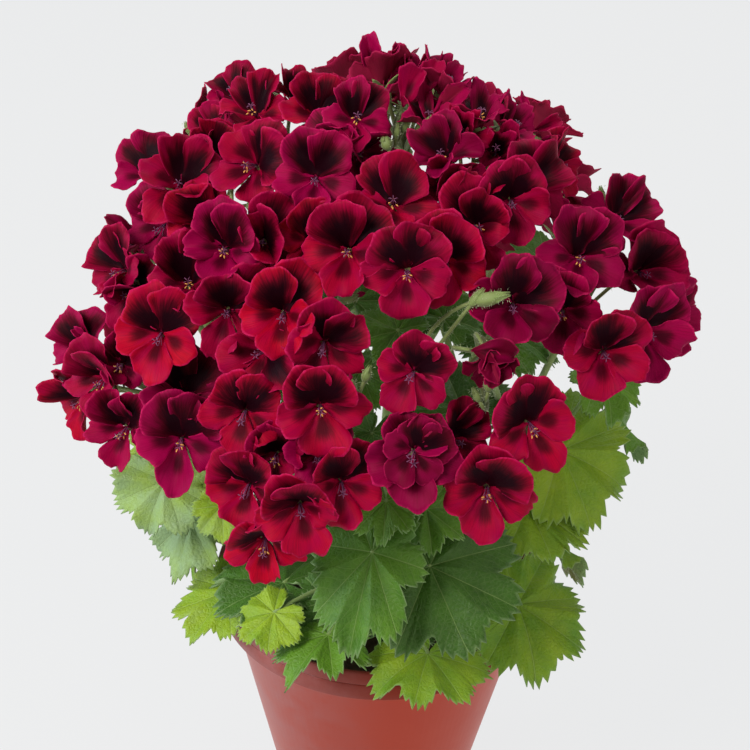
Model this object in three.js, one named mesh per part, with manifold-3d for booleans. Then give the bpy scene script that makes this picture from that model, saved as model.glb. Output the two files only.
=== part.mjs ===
// A regal pelargonium in a round plastic pot, in millimetres, +Z up, front towards -Y.
// The origin is the centre of the pot's flat underside.

import * as THREE from 'three';
import { mergeVertices } from 'three/addons/utils/BufferGeometryUtils.js';
import Module from 'manifold-3d';

const wasm = await Module();
wasm.setup();

// Driving dimensions: pot
const POT_HEIGHT = 130;
const RIM_RADIUS = 75;
const RIM_STEP = 7.2;
const BAND_HEIGHT = 16.5;
const BAND_RADIUS = 74;
const WALL_RADIUS_UNDER_BAND = 67.7;
const WALL_TAPER = 0.218;
const WALL_THICKNESS = 2;
const BAND_BOTTOM = POT_HEIGHT - BAND_HEIGHT;
const SHOULDER_DEPTH = 3.5;
const WALL_TOP = BAND_BOTTOM - SHOULDER_DEPTH;
const BASE_RADIUS = WALL_RADIUS_UNDER_BAND - WALL_TAPER * WALL_TOP;
const EDGE_CHAMFER = 1;
const FOOT_RECESS = 2.5;
const POT_FLOOR = FOOT_RECESS + WALL_THICKNESS;
const INNER_SHOULDER = BAND_BOTTOM - 2 * WALL_THICKNESS;
const FOOT_RING_WIDTH = 5;
const FOOT_DISC_RADIUS = 12;
const DRAIN_HOLES = 5;
const DRAIN_HOLE_RADIUS = 4;
const DRAIN_HOLE_SIDES = 6;
const POT_SIDES = 24;

// Driving dimensions: soil
const SOIL_DEPTH_UNDER_RIM = 12;
const SOIL_TOP = POT_HEIGHT - SOIL_DEPTH_UNDER_RIM;
const SOIL_CROWN = 5;
const SOIL_SIDES = 18;
const STEM_HOLE_DEPTH = 26;
const CLEARANCE = 0.3;

// Driving dimensions: stems and stalks
const STEM_RADIUS = 3.4;
const STEM_SIDES = 6;
const STEM_TIP_RADIUS = 2.1;
const PEDUNCLE_RADIUS = 1.5;
const PEDUNCLE_SIDES = 3;
const PETIOLE_RADIUS = 1.1;
const PETIOLE_SIDES = 3;
const PETIOLE_RISE = 22;
const STRAIGHT_COLLAR = 8;
const LOWEST_NODE = 0.08;
const HIGHEST_NODE = 0.97;
const STALK_BEND = 0.45;
const UMBEL_HUB_RADIUS = 3.2;
const UMBEL_DEPTH = 25;

// Driving dimensions: blooms and leaves
const BLADE_THICKNESS = 0.8;
const PETAL_REACH = 20;
const UPPER_PETAL_SHARE = 1.06;
const LOWER_PETAL_SHARE = 0.97;
const PETAL_RISE = 0.42;
const PETAL_ROLL = 0.3;
const PETAL_DISH = 0.5;
const REST_PITCH = 0.1;
const REST_PITCH_SPREAD = 0.25;
const THROAT_RADIUS = 2.2;
const THROAT_DEPTH = 1.3;
const THROAT_BASE_SHARE = 1.12;
const CALYX_DEPTH = 3.5;
const CALYX_RADIUS = 1;
const SIDEWAYS_PEDICEL = 0.45;
const PEDICEL_RADIUS = 0.8;
const PEDICEL_SIDES = 3;
const CUP_DEPTH = 3;
const NEIGHBOURHOOD = 2.6 * PETAL_REACH;
const DOME_RADIUS = 131;
const DOME_HEIGHT = 138;
const DOME_CENTRE_OVER_RIM = 103;
const CORE_OVER_RIM = 63;

// The viewpoint from which the blooms' and leaves' places were measured, as picture points.
const PICTURE_CENTRE = 375;
const PICTURE_FOCAL = 1842;
const VIEW_DISTANCE = 800;
const VIEW_ELEVATION = THREE.MathUtils.degToRad(32.35);
const VIEW_ROLL = THREE.MathUtils.degToRad(1.8);
const VIEW_TARGET = new THREE.Vector3(-4.5, 0, POT_HEIGHT + 104.8);
const VIEW_RIGHT = new THREE.Vector3(1, 0, 0);
const VIEW_UP = new THREE.Vector3(0, Math.sin(VIEW_ELEVATION), Math.cos(VIEW_ELEVATION));
const VIEW_BACK = new THREE.Vector3(0, -Math.cos(VIEW_ELEVATION), Math.sin(VIEW_ELEVATION));
const VIEWPOINT = VIEW_TARGET.clone().addScaledVector(VIEW_BACK, VIEW_DISTANCE);

// Blooms of each head: throat in the picture (x, y), facing (right, up, towards the viewer),
// turn of the upper petals clockwise from upright, depth behind the dome in mm, reach in mm.
const FRONT_HEADS = {
  upper_left: [
    [151, 174, -0.4, 0.3, 0.9, -15, 2, 19],
    [181, 188, 0.1, 0.35, 0.9, 30, -3, 21],
    [218, 138, -0.5, 0.6, 0.7, -20, 8, 15],
    [166, 224, -0.4, -0.1, 0.9, 0, 13, 18],
    [214, 158, 0.1, 0.3, 0.9, 10, 14, 18],
  ],
  top_left: [
    [257, 117, -0.2, 0.65, 0.75, 0, 0, 18],
    [294, 101, 0.25, 0.7, 0.7, 10, 8, 15],
    [258, 166, -0.3, 0.1, 0.95, 60, 2, 20],
    [238, 99, -0.35, 0.6, 0.7, -15, 8, 16],
    [318, 117, 0.2, 0.4, 0.9, 10, 9, 18],
  ],
  top: [
    [316, 178, 0, 0.05, 1, 5, 2, 21],
    [357, 121, 0.05, 0.3, 0.9, 5, 0, 20],
    [357, 152, 0.15, 0.1, 1, 0, 18, 20],
    [343, 142, -0.4, -0.1, 0.9, -20, 13, 16],
  ],
  peak: [
    [381, 86, -0.35, 0.85, -0.3, 0, 0, 18],
    [410, 103, 0.15, 0.95, 0.2, 0, 13, 20],
    [440, 93, 0.35, 0.8, 0.4, 10, 0, 19],
  ],
  upper_right: [
    [478, 126, 0.1, 0.85, 0.5, 0, 2, 17],
    [505, 134, 0.45, 0.7, 0.55, 0, 5, 16],
    [447, 160, -0.4, 0.45, 0.8, -20, 3, 19],
    [526, 188, 0.4, 0.2, 0.9, 20, 1, 19],
    [510, 200, 0.05, -0.15, 1, -5, -4, 19],
    [430, 128, -0.1, 0.8, 0.55, -10, 8, 17],
    [461, 141, 0, 0.6, 0.8, 10, 9, 17],
    [495, 155, 0.1, 0.4, 0.9, 30, 11, 15],
    [549, 168, 0.75, 0.3, 0.55, 10, 8, 17],
  ],
  middle: [
    [393, 207, 0, 0.4, 0.9, 0, 7, 20],
    [349, 250, -0.1, 0, 1, 5, 0, 21],
    [407, 270, 0, -0.1, 1, 0, -3, 21],
    [446, 260, -0.1, -0.05, 1, 5, 3, 20],
    [474, 226, 0.15, 0.1, 1, -10, 3, 21],
    [453, 184, -0.1, 0.2, 0.95, -15, 10, 18],
  ],
  right: [
    [616, 220, 0.35, 0.35, 0.85, 30, 4, 16],
    [578, 257, 0.1, 0, 1, 10, -2, 21],
    [602, 351, 0.15, -0.1, 1, 12, -2, 21],
    [642, 330, 0.5, -0.15, 0.85, 0, 3, 21],
    [662, 315, 0.9, 0, 0.4, 0, 6, 16],
    [637, 272, 0.85, 0.15, 0.4, 0, 6, 17],
    [562, 310, -0.2, -0.15, 1, -10, 7, 20],
  ],
  right_middle: [
    [513, 304, 0.05, -0.1, 1, 20, 0, 21],
    [488, 356, 0.2, -0.8, 0.5, 0, 5, 14],
  ],
  far_left: [
    [126, 270, -0.6, 0.05, 0.8, -20, 1, 18],
    [138, 250, -0.2, 0.75, 0.6, 0, 19, 17],
    [135, 289, -0.35, -0.1, 0.95, 20, 12, 19],
    [190, 285, 0, 0.4, 0.9, 0, 8, 20],
    [162, 333, -0.1, -0.1, 1, 10, -4, 21],
  ],
  left: [
    [227, 249, -0.05, 0.15, 1, 10, -2, 20],
    [264, 241, 0.2, 0.05, 1, 45, 8, 20],
    [229, 310, 0, -0.05, 1, 15, 4, 21],
    [207, 222, -0.35, 0.3, 0.9, -20, 13, 19],
    [309, 241, 0.25, 0, 0.95, 20, 12, 18],
  ],
  centre_left: [
    [284, 312, -0.05, -0.1, 1, 0, -2, 21],
    [267, 350, -0.15, -0.3, 0.9, 90, 7, 20],
    [324, 341, 0.1, -0.3, 0.95, 20, 3, 20],
  ],
  left_edge: [
    [107, 378, -0.55, 0, 0.8, 0, 4, 19],
    [128, 427, -0.3, -0.2, 0.95, 10, 0, 20],
    [88, 396, -0.9, -0.3, 0.3, 0, 10, 17],
    [88, 352, -0.9, 0.3, 0.3, 0, 5, 17],
    [123, 364, 0.05, 0.05, 1, 30, 12, 14],
  ],
  lower_left: [
    [182, 438, 0, -0.1, 1, 5, -2, 22],
    [186, 396, 0.05, 0.2, 1, 0, 12, 20],
  ],
  lower_middle: [
    [246, 410, -0.1, -0.25, 0.95, 10, 3, 20],
    [320, 405, 0.05, -0.15, 1, -10, 0, 21],
    [277, 453, -0.1, -0.1, 1, 0, 12, 17],
    [318, 456, 0.1, 0, 1, 20, 12, 17],
  ],
  front_low: [
    [250, 484, -0.3, -0.2, 0.9, 0, 4, 19],
    [300, 503, 0.05, -0.3, 0.95, -15, -3, 22],
    [266, 537, -0.1, -0.6, 0.8, 0, 2, 19],
    [341, 481, 0.15, -0.2, 0.95, 0, 3, 19],
  ],
  centre: [
    [414, 372, -0.1, -0.15, 1, 30, 0, 20],
  ],
  front_right: [
    [414, 453, 0, -0.2, 1, 0, 1, 22],
    [414, 450, 0, -0.2, 1, 36, -3.5, 16],
    [487, 486, 0.05, -0.25, 0.95, 10, 0, 22],
    [528, 422, 0.15, -0.15, 1, -30, -1, 21],
    [452, 438, 0.5, 0.1, 0.85, 20, 9, 16],
  ],
};

// Heads on the side that faces away from the picture: azimuth from +X, height angle, blooms,
// and depth behind the dome.
const BACK_HEADS = {
  back_low_left: [148, 2, 4, 3],
  back_high_left: [138, 36, 4, 5],
  back_middle: [97, 40, 5, 4],
  back_low: [100, 6, 5, 3],
  back_top: [90, 71, 5, 12],
  back_high_right: [54, 34, 4, 5],
  back_low_right: [56, 2, 4, 3],
};
const BACK_BLOOM_SPACING = 21;
const BACK_SPREAD_DRAW = 0.3;
const BACK_TURN_DRAW = 0.5;
const BACK_DEPTH_DRAW = 6;
const BACK_FACING_DRAW = 0.5;
const BACK_LIFT_DRAW = 0.3;

// Leaves: where the blade meets its stalk in the picture (x, y), its distance to the front (-Y)
// in mm, facing (right, up, towards), run of the midrib clockwise from upright, reach in mm.
const FRONT_LEAVES = {
  shoot_front: [
    [372, 552, 104, -0.15, 0.3, 0.95, 192, 31],
    [430, 566, 90, 0.1, 0.4, 0.9, 112, 38],
    [434, 655, 84, 0.05, 0.65, 0.75, 190, 28],
    [330, 638, 80, -0.1, 0.6, 0.8, 200, 21],
    [386, 500, 98, 0, 0.5, 0.85, 180, 17],
    [426, 508, 80, 0.1, 0.5, 0.85, 172, 19],
    [345, 520, 82, 0.2, 0.3, 0.9, 160, 17],
    [352, 604, 60, 0, 0.75, 0.7, 190, 17],
    [402, 616, 54, 0.05, 0.75, 0.7, 165, 19],
    [284, 602, 66, -0.3, 0.55, 0.8, 215, 19],
    [372, 432, 62, 0, 0.6, 0.8, 200, 18],
  ],
  shoot_right: [
    [514, 606, 60, 0.2, 0.4, 0.9, 118, 33],
    [560, 450, 30, 0.25, 0.35, 0.9, 105, 35],
    [528, 505, 44, 0.2, 0.45, 0.85, 115, 28],
    [600, 372, 18, 0.45, 0.5, 0.75, 110, 24],
    [462, 408, 44, -0.1, 0.6, 0.8, 340, 26],
    [545, 262, -20, 0.3, 0.65, 0.7, 10, 22],
    [505, 330, 30, 0.2, 0.6, 0.75, 200, 22],
  ],
  shoot_left: [
    [165, 481, 26, -0.3, 0.2, 0.9, 200, 27],
    [176, 452, 10, -0.35, 0.3, 0.9, 250, 30],
    [190, 520, 12, -0.75, 0.1, 0.6, 185, 26],
    [236, 594, 34, -0.45, 0.8, 0.45, 262, 27],
    [282, 592, 45, -0.15, 0.8, 0.6, 305, 31],
    [215, 470, 12, -0.1, 0.5, 0.85, 20, 22],
    [222, 505, 44, -0.2, 0.3, 0.9, 170, 16],
    [285, 392, 58, -0.1, 0.5, 0.85, 20, 16],
  ],
  shoot_centre: [
    [355, 300, 36, -0.1, 0.3, 0.95, 0, 18],
    [398, 330, 60, 0, 0.5, 0.85, 300, 18],
    [444, 318, 44, 0.1, 0.3, 0.95, 10, 17],
    [310, 275, 20, -0.2, 0.6, 0.8, 340, 18],
    [360, 372, 54, -0.1, 0.6, 0.8, 120, 16],
  ],
};

// Rings of leaves round the sides and back: azimuths from +X, distance from the pot's axis,
// height over the rim, how far the face leans up (0 faces outwards), reach.
const BACK_LEAF_RINGS = [
  { azimuths: [12, 49, 85, 130, 169], radius: 81, height: 13, lean: 40, reach: 30 },
  { azimuths: [30, 69, 107, 147], radius: 96, height: 50, lean: 40, reach: 32 },
  { azimuths: [8, 50, 88, 127, 162], radius: 106, height: 80, lean: 34, reach: 27 },
  { azimuths: [42, 92, 142], radius: 54, height: 120, lean: 55, reach: 22 },
];

// Shoots: where each stem stands in the soil and where it ends, as x, y and height over the rim.
const SHOOTS = {
  shoot_front: { foot: [2, -24], top: [4, -52, 46] },
  shoot_right: { foot: [23, -8], top: [58, -8, 62] },
  shoot_back_right: { foot: [15, 18], top: [40, 46, 60] },
  shoot_back_left: { foot: [-14, 19], top: [-38, 44, 60] },
  shoot_left: { foot: [-22, -8], top: [-56, -12, 62] },
  shoot_centre: { foot: [0, 0], top: [2, -4, 104] },
};
const HEAD_CARRIERS = {
  upper_left: 'shoot_left',
  top_left: 'shoot_centre',
  top: 'shoot_centre',
  peak: 'shoot_centre',
  upper_right: 'shoot_centre',
  middle: 'shoot_centre',
  right: 'shoot_right',
  right_middle: 'shoot_right',
  far_left: 'shoot_left',
  left: 'shoot_left',
  centre_left: 'shoot_front',
  left_edge: 'shoot_left',
  lower_left: 'shoot_left',
  lower_middle: 'shoot_front',
  front_low: 'shoot_front',
  centre: 'shoot_front',
  front_right: 'shoot_front',
  back_low_left: 'shoot_back_left',
  back_middle: 'shoot_back_right',
  back_high_left: 'shoot_back_left',
  back_low: 'shoot_back_right',
  back_top: 'shoot_back_left',
  back_high_right: 'shoot_back_right',
  back_low_right: 'shoot_back_right',
};

const POT_COLOUR = 0xa4462f;
const SOIL_COLOUR = 0x2b211a;
const LEAF_COLOUR = 0x4f7a2c;
const PETAL_COLOUR = 0xa3001f;

// A repeatable draw between 0 and 1 for a numbered thing.
function draw(number) {
  const wave = Math.sin(number * 12.9898) * 43758.5453;
  return wave - Math.floor(wave);
}

// The direction in space of a direction given as right, up and towards the viewer.
function fromView(right, up, towards) {
  return new THREE.Vector3()
    .addScaledVector(VIEW_RIGHT, right)
    .addScaledVector(VIEW_UP, up)
    .addScaledVector(VIEW_BACK, towards)
    .normalize();
}

// The line of sight through a picture point.
function sight(x, y) {
  const across = x - PICTURE_CENTRE;
  const above = PICTURE_CENTRE - y;
  const right = across * Math.cos(VIEW_ROLL) - above * Math.sin(VIEW_ROLL);
  const up = above * Math.cos(VIEW_ROLL) + across * Math.sin(VIEW_ROLL);
  return fromView(right, up, -PICTURE_FOCAL);
}

// Where a line of sight meets the dome of blooms, or passes nearest to it.
function onDome(x, y, depth) {
  const ray = sight(x, y);
  const squash = new THREE.Vector3(1 / DOME_RADIUS, 1 / DOME_RADIUS, 1 / DOME_HEIGHT);
  const centre = new THREE.Vector3(0, 0, POT_HEIGHT + DOME_CENTRE_OVER_RIM);
  const from = VIEWPOINT.clone().sub(centre).multiply(squash);
  const along = ray.clone().multiply(squash);
  const a = along.dot(along);
  const b = from.dot(along);
  const c = from.dot(from) - 1;
  const root = Math.sqrt(Math.max(b * b - a * c, 0));
  return VIEWPOINT.clone().addScaledVector(ray, (-b - root) / a + depth);
}

// Where a line of sight passes a plane at a given distance in front of the pot's axis.
function atFront(x, y, front) {
  const ray = sight(x, y);
  return VIEWPOINT.clone().addScaledVector(ray, (-front - VIEWPOINT.y) / ray.y);
}

// The picture direction that lies a number of degrees clockwise from upright, laid into a face.
function inFace(facing, turn) {
  const angle = THREE.MathUtils.degToRad(turn) + VIEW_ROLL;
  const way = fromView(Math.sin(angle), Math.cos(angle), 0);
  return way.addScaledVector(facing, -way.dot(facing)).normalize();
}

// Makes a closed solid from points and triangles, turned to face outwards.
function solidOf(points, triangles) {
  const vertProperties = new Float32Array(points.flatMap((p) => [p.x, p.y, p.z]));
  let volume = 0;
  for (const [i, j, k] of triangles) {
    volume += points[i].dot(new THREE.Vector3().crossVectors(points[j], points[k]));
  }
  const outward = volume > 0 ? triangles : triangles.map(([i, j, k]) => [i, k, j]);
  const triVerts = new Uint32Array(outward.flat());
  return new wasm.Manifold(new wasm.Mesh({ numProp: 3, vertProperties, triVerts }));
}

// Makes a solid from a three.js geometry whose surface is closed.
function solidFromGeometry(geometry) {
  const bare = geometry.clone();
  bare.deleteAttribute('normal');
  bare.deleteAttribute('uv');
  const merged = mergeVertices(bare, 1e-4);
  const vertProperties = new Float32Array(merged.attributes.position.array);
  const triVerts = new Uint32Array(merged.index.array);
  return new wasm.Manifold(new wasm.Mesh({ numProp: 3, vertProperties, triVerts }));
}

// Rings of points round a row of points, without twist, from a first side direction.
function tubeRings(points, radii, sides, firstSide, firstAlong) {
  const rings = [];
  let side = firstSide;
  points.forEach((point, i) => {
    const before = points[Math.max(i - 1, 0)];
    const after = points[Math.min(i + 1, points.length - 1)];
    const along = i === 0 && firstAlong ? firstAlong : after.clone().sub(before).normalize();
    side = side.clone().addScaledVector(along, -side.dot(along)).normalize();
    const other = new THREE.Vector3().crossVectors(along, side);
    for (let k = 0; k < sides; k += 1) {
      const angle = (k / sides) * 2 * Math.PI;
      rings.push(point.clone()
        .addScaledVector(side, radii[i] * Math.cos(angle))
        .addScaledVector(other, radii[i] * Math.sin(angle)));
    }
  });
  return rings;
}

// The triangles of the wall over such rings, and of its far end.
function tubeWall(start, ringCount, sides) {
  const triangles = [];
  const last = start + (ringCount - 1) * sides;
  for (let ring = start; ring < last; ring += sides) {
    for (let k = 0; k < sides; k += 1) {
      const next = (k + 1) % sides;
      triangles.push([ring + k, ring + next, ring + sides + next]);
      triangles.push([ring + k, ring + sides + next, ring + sides + k]);
    }
  }
  for (let k = 1; k < sides - 1; k += 1) {
    triangles.push([last, last + k, last + k + 1]);
  }
  return triangles;
}

// A round rod through a row of points.
function rod(points, radii, sides) {
  const rings = tubeRings(points, radii, sides, new THREE.Vector3(0.31, 0.9, 0.17));
  const triangles = tubeWall(0, points.length, sides);
  for (let k = 1; k < sides - 1; k += 1) {
    triangles.push([0, k + 1, k]);
  }
  return solidOf(rings, triangles);
}

// Points along a stalk that leaves one point in a direction and ends at another.
function bow(from, leaving, to, steps) {
  const span = from.distanceTo(to);
  const bend = from.clone().addScaledVector(leaving, span * STALK_BEND);
  const curve = new THREE.QuadraticBezierCurve3(from, bend, to);
  return curve.getPoints(steps);
}

// The frame of a bloom or a leaf: place, facing, and two directions in its face.
function frameOf(place, facing, upper) {
  const across = new THREE.Vector3().crossVectors(facing, upper).normalize();
  return { place, facing, upper, across };
}

// All blooms, each with its frame, its reach and the head that it belongs to.
function placeBlooms() {
  const blooms = [];
  for (const [head, rows] of Object.entries(FRONT_HEADS)) {
    for (const [x, y, right, up, towards, turn, depth, reach] of rows) {
      const facing = fromView(right, up, towards);
      const frame = frameOf(onDome(x, y, depth), facing, inFace(facing, turn));
      blooms.push({ ...frame, head, reach });
    }
  }
  const centre = new THREE.Vector3(0, 0, POT_HEIGHT + DOME_CENTRE_OVER_RIM);
  for (const [head, [azimuth, rise, count, depth]] of Object.entries(BACK_HEADS)) {
    for (let i = 0; i < count; i += 1) {
      const number = blooms.length;
      const angle = (i / count) * 2 * Math.PI + draw(number) * BACK_TURN_DRAW + 0.6;
      const spread = THREE.MathUtils.radToDeg(BACK_BLOOM_SPACING / DOME_RADIUS);
      const stretch = 1.05 + BACK_SPREAD_DRAW * draw(number + 40);
      const turnRound = THREE.MathUtils.degToRad(azimuth + spread * stretch * Math.cos(angle));
      const turnUp = THREE.MathUtils.degToRad(rise + spread * stretch * Math.sin(angle));
      const out = new THREE.Vector3(
        Math.cos(turnRound) * Math.cos(turnUp),
        Math.sin(turnRound) * Math.cos(turnUp),
        Math.sin(turnUp),
      );
      const place = out.clone()
        .multiply(new THREE.Vector3(DOME_RADIUS, DOME_RADIUS, DOME_HEIGHT))
        .addScaledVector(out, -depth - BACK_DEPTH_DRAW * draw(number + 80))
        .add(centre);
      const facing = out.clone();
      facing.x += BACK_FACING_DRAW * (draw(number + 120) - 0.5);
      facing.z += BACK_LIFT_DRAW * draw(number + 160);
      facing.normalize();
      const upright = new THREE.Vector3(0, 0, 1);
      const upper = upright.addScaledVector(facing, -upright.dot(facing)).normalize();
      blooms.push({ ...frameOf(place, facing, upper), head, reach: PETAL_REACH - 1 });
    }
  }
  return blooms;
}

// A petal's shoulder and tip: distance from the throat and half width, as shares of its reach,
// and how near to the bloom's axis each may lean, as a share of the throat's own distance.
const PETAL_SHOULDER = { share: 0.66, halfWidth: 0.44, nearest: 1.25 };
const PETAL_TIP = { share: 1, halfWidth: 0.3, nearest: 1.5 };
const PETAL_HALF_SECTOR = Math.PI / 5;
const SECTOR_FILL = 0.94;

// The points of one petal's upper and lower face, outside its root. The petal keeps to its
// fifth of the bloom, and its sides run outwards from the throat's corners.
function petalPoints(bloom, index, pitch, reach) {
  const angle = (2 * index + 1) * PETAL_HALF_SECTOR;
  const isUpper = index === 0 || index === 4;
  const outward = bloom.upper.clone().multiplyScalar(Math.cos(angle))
    .addScaledVector(bloom.across, Math.sin(angle));
  const sideways = bloom.upper.clone().multiplyScalar(-Math.sin(angle))
    .addScaledVector(bloom.across, Math.cos(angle));
  const length = reach * (isUpper ? UPPER_PETAL_SHARE : LOWER_PETAL_SHARE);
  const root = THROAT_RADIUS * Math.cos(PETAL_HALF_SECTOR);
  const corner = THROAT_RADIUS * Math.sin(PETAL_HALF_SECTOR);
  const [shoulder, tip] = [PETAL_SHOULDER, PETAL_TIP].map(({ share, halfWidth, nearest }) => {
    const flat = share * length - root;
    const rolled = PETAL_RISE * share - PETAL_ROLL * share * share;
    const lift = length * (rolled + PETAL_DISH * halfWidth * halfWidth);
    const run = flat * Math.cos(pitch) - lift * Math.sin(pitch);
    const rise = flat * Math.sin(pitch) + lift * Math.cos(pitch);
    const far = Math.max(root + run, root * nearest);
    const width = Math.min(halfWidth * length, far * Math.tan(PETAL_HALF_SECTOR) * SECTOR_FILL);
    const along = (far - root) * Math.cos(pitch) + rise * Math.sin(pitch);
    return { far, rise, width, along };
  });
  const flare = ((shoulder.width - corner) / shoulder.along) * SECTOR_FILL;
  tip.width = Math.min(tip.width, corner + flare * tip.along);
  const at = ({ far, rise, width }, side) => (
    bloom.place.clone()
      .addScaledVector(outward, far)
      .addScaledVector(bloom.facing, rise)
      .addScaledVector(sideways, side * width)
  );
  const upperFace = [at(shoulder, -1), at(tip, -1), at(tip, 1), at(shoulder, 1)];
  const lowerFace = [at(tip, -1), at(tip, 1)].map((top) => (
    top.addScaledVector(outward, BLADE_THICKNESS * Math.sin(pitch))
      .addScaledVector(bloom.facing, -BLADE_THICKNESS * Math.cos(pitch))
  ));
  return [upperFace, lowerFace];
}

// The half spaces round a bloom that its petals keep to, so that no two blooms cross.
function territory(bloom, blooms) {
  const own = bloom.place.clone().addScaledVector(bloom.facing, CUP_DEPTH);
  const walls = [];
  for (const other of blooms) {
    if (other === bloom) continue;
    const theirs = other.place.clone().addScaledVector(other.facing, CUP_DEPTH);
    if (theirs.distanceTo(own) > NEIGHBOURHOOD) continue;
    const normal = theirs.sub(own);
    const limit = normal.length() / 2 - CLEARANCE;
    walls.push({ own, normal: normal.normalize(), limit });
  }
  return walls;
}

function keepsTo(walls, points) {
  return walls.every(({ own, normal, limit }) => (
    points.every((point) => point.clone().sub(own).dot(normal) <= limit)
  ));
}

const RAISE_STEP = 0.16;
const RAISE_COST = 0.08;
const SHORTEN_COST = 1.6;
const SHORTEST_SHARE = 0.3;
const CLOSED_PITCH = 1.4;

// The least raised and least shortened form of a petal that stays in its bloom's territory.
function fitPetal(bloom, index, walls) {
  const restPitch = REST_PITCH + REST_PITCH_SPREAD * draw(bloom.number * 5 + index);
  let best = null;
  for (let share = 1; share > SHORTEST_SHARE; share -= 0.06) {
    for (let raise = -2; raise <= 8; raise += 1) {
      const cost = Math.abs(raise) * RAISE_COST + (1 - share) * SHORTEN_COST;
      if (best && cost >= best.cost) continue;
      const pitch = restPitch + raise * RAISE_STEP;
      const faces = petalPoints(bloom, index, pitch, bloom.reach * share);
      if (keepsTo(walls, faces.flat())) best = { cost, faces };
    }
  }
  return best ? best.faces : petalPoints(bloom, index, CLOSED_PITCH, bloom.reach * SHORTEST_SHARE);
}

// The triangles between two rings of points that start on the same side.
function ringBridge(upper, upperCount, lower, lowerCount) {
  const triangles = [];
  let a = 0;
  let b = 0;
  while (a < upperCount || b < lowerCount) {
    const above = upper + (a % upperCount);
    const below = lower + (b % lowerCount);
    if ((a + 1) * lowerCount <= (b + 1) * upperCount) {
      a += 1;
      triangles.push([above, below, upper + (a % upperCount)]);
    } else {
      b += 1;
      triangles.push([above, below, lower + (b % lowerCount)]);
    }
  }
  return triangles;
}

// One bloom: a five-sided throat whose sides carry the petals and whose underside tapers
// into the pedicel, which ends inside the umbel's hub.
function bloomSolid(bloom, blooms, hub) {
  const points = [];
  const triangles = [];
  const ring = (centre, upper, across, radius, sides) => {
    const start = points.length;
    for (let k = 0; k < sides; k += 1) {
      const angle = (k / sides) * 2 * Math.PI;
      points.push(centre.clone()
        .addScaledVector(upper, radius * Math.cos(angle))
        .addScaledVector(across, radius * Math.sin(angle)));
    }
    return start;
  };
  const { place, facing, upper, across } = bloom;
  const top = ring(place, upper, across, THROAT_RADIUS, 5);
  const base = place.clone().addScaledVector(facing, -THROAT_DEPTH);
  const throatBase = ring(base, upper, across, THROAT_RADIUS * THROAT_BASE_SHARE, 5);
  const rings = [];
  const inward = hub.clone().sub(place).normalize();
  if (inward.dot(facing) > -SIDEWAYS_PEDICEL) {
    const calyx = base.clone()
      .addScaledVector(facing, -CALYX_DEPTH)
      .addScaledVector(inward, CALYX_RADIUS * 1.5);
    rings.push(ring(calyx, upper, across, CALYX_RADIUS, PEDICEL_SIDES));
  }
  const back = inward.clone().negate();
  const endUpper = upper.clone().addScaledVector(back, -upper.dot(back)).normalize();
  const endAcross = new THREE.Vector3().crossVectors(back, endUpper);
  rings.push(ring(hub, endUpper, endAcross, PEDICEL_RADIUS, PEDICEL_SIDES));
  for (let k = 1; k < 4; k += 1) {
    triangles.push([top, top + k, top + k + 1]);
  }
  triangles.push(...ringBridge(throatBase, 5, rings[0], PEDICEL_SIDES));
  if (rings.length > 1) {
    triangles.push(...ringBridge(rings[0], PEDICEL_SIDES, rings[1], PEDICEL_SIDES));
  }
  const end = rings[rings.length - 1];
  triangles.push([end, end + 2, end + 1]);
  const walls = territory(bloom, blooms);
  for (let index = 0; index < 5; index += 1) {
    const [upperFace, lowerFace] = fitPetal(bloom, index, walls);
    const start = points.length;
    points.push(...upperFace, ...lowerFace);
    const next = (index + 1) % 5;
    const above = [top + index, start, start + 1, start + 2, start + 3, top + next];
    const below = [throatBase + index, start + 4, start + 5, throatBase + next];
    for (const [i, j, k] of [[0, 1, 2], [0, 2, 5], [2, 3, 5], [3, 4, 5]]) {
      triangles.push([above[i], above[j], above[k]]);
    }
    triangles.push([below[0], below[3], below[1]]);
    triangles.push([below[1], below[3], below[2]]);
    triangles.push([above[0], below[0], above[1]]);
    triangles.push([above[1], below[0], below[1]]);
    triangles.push([above[1], below[1], above[2]]);
    triangles.push([above[2], below[1], above[3]]);
    triangles.push([above[3], below[1], below[2]]);
    triangles.push([above[3], below[2], above[4]]);
    triangles.push([above[4], below[2], below[3]]);
    triangles.push([above[4], below[3], above[5]]);
  }
  return solidOf(points, triangles);
}

// A leaf's outline: angle from the midrib in degrees, distance from the stalk, relief.
const LEAF_HALF_OUTLINE = [
  [15, 0.87, 0.03],
  [30, 0.75, 0.1],
  [47, 0.98, -0.05],
  [66, 0.72, 0.1],
  [86, 0.9, -0.03],
  [112, 0.7, 0.05],
  [143, 0.64, 0],
];
const LEAF_TIP = [0, 1.04, -0.06];
const LEAF_NOTCH = [180, 0.12, 0.02];
const LEAF_CUP = 0.16;
const LEAF_RELIEF = 1.2;
const RING_TURN_DRAW = 6;
const RING_LEAN_DRAW = 14;
const RING_HEIGHT_DRAW = 8;

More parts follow.
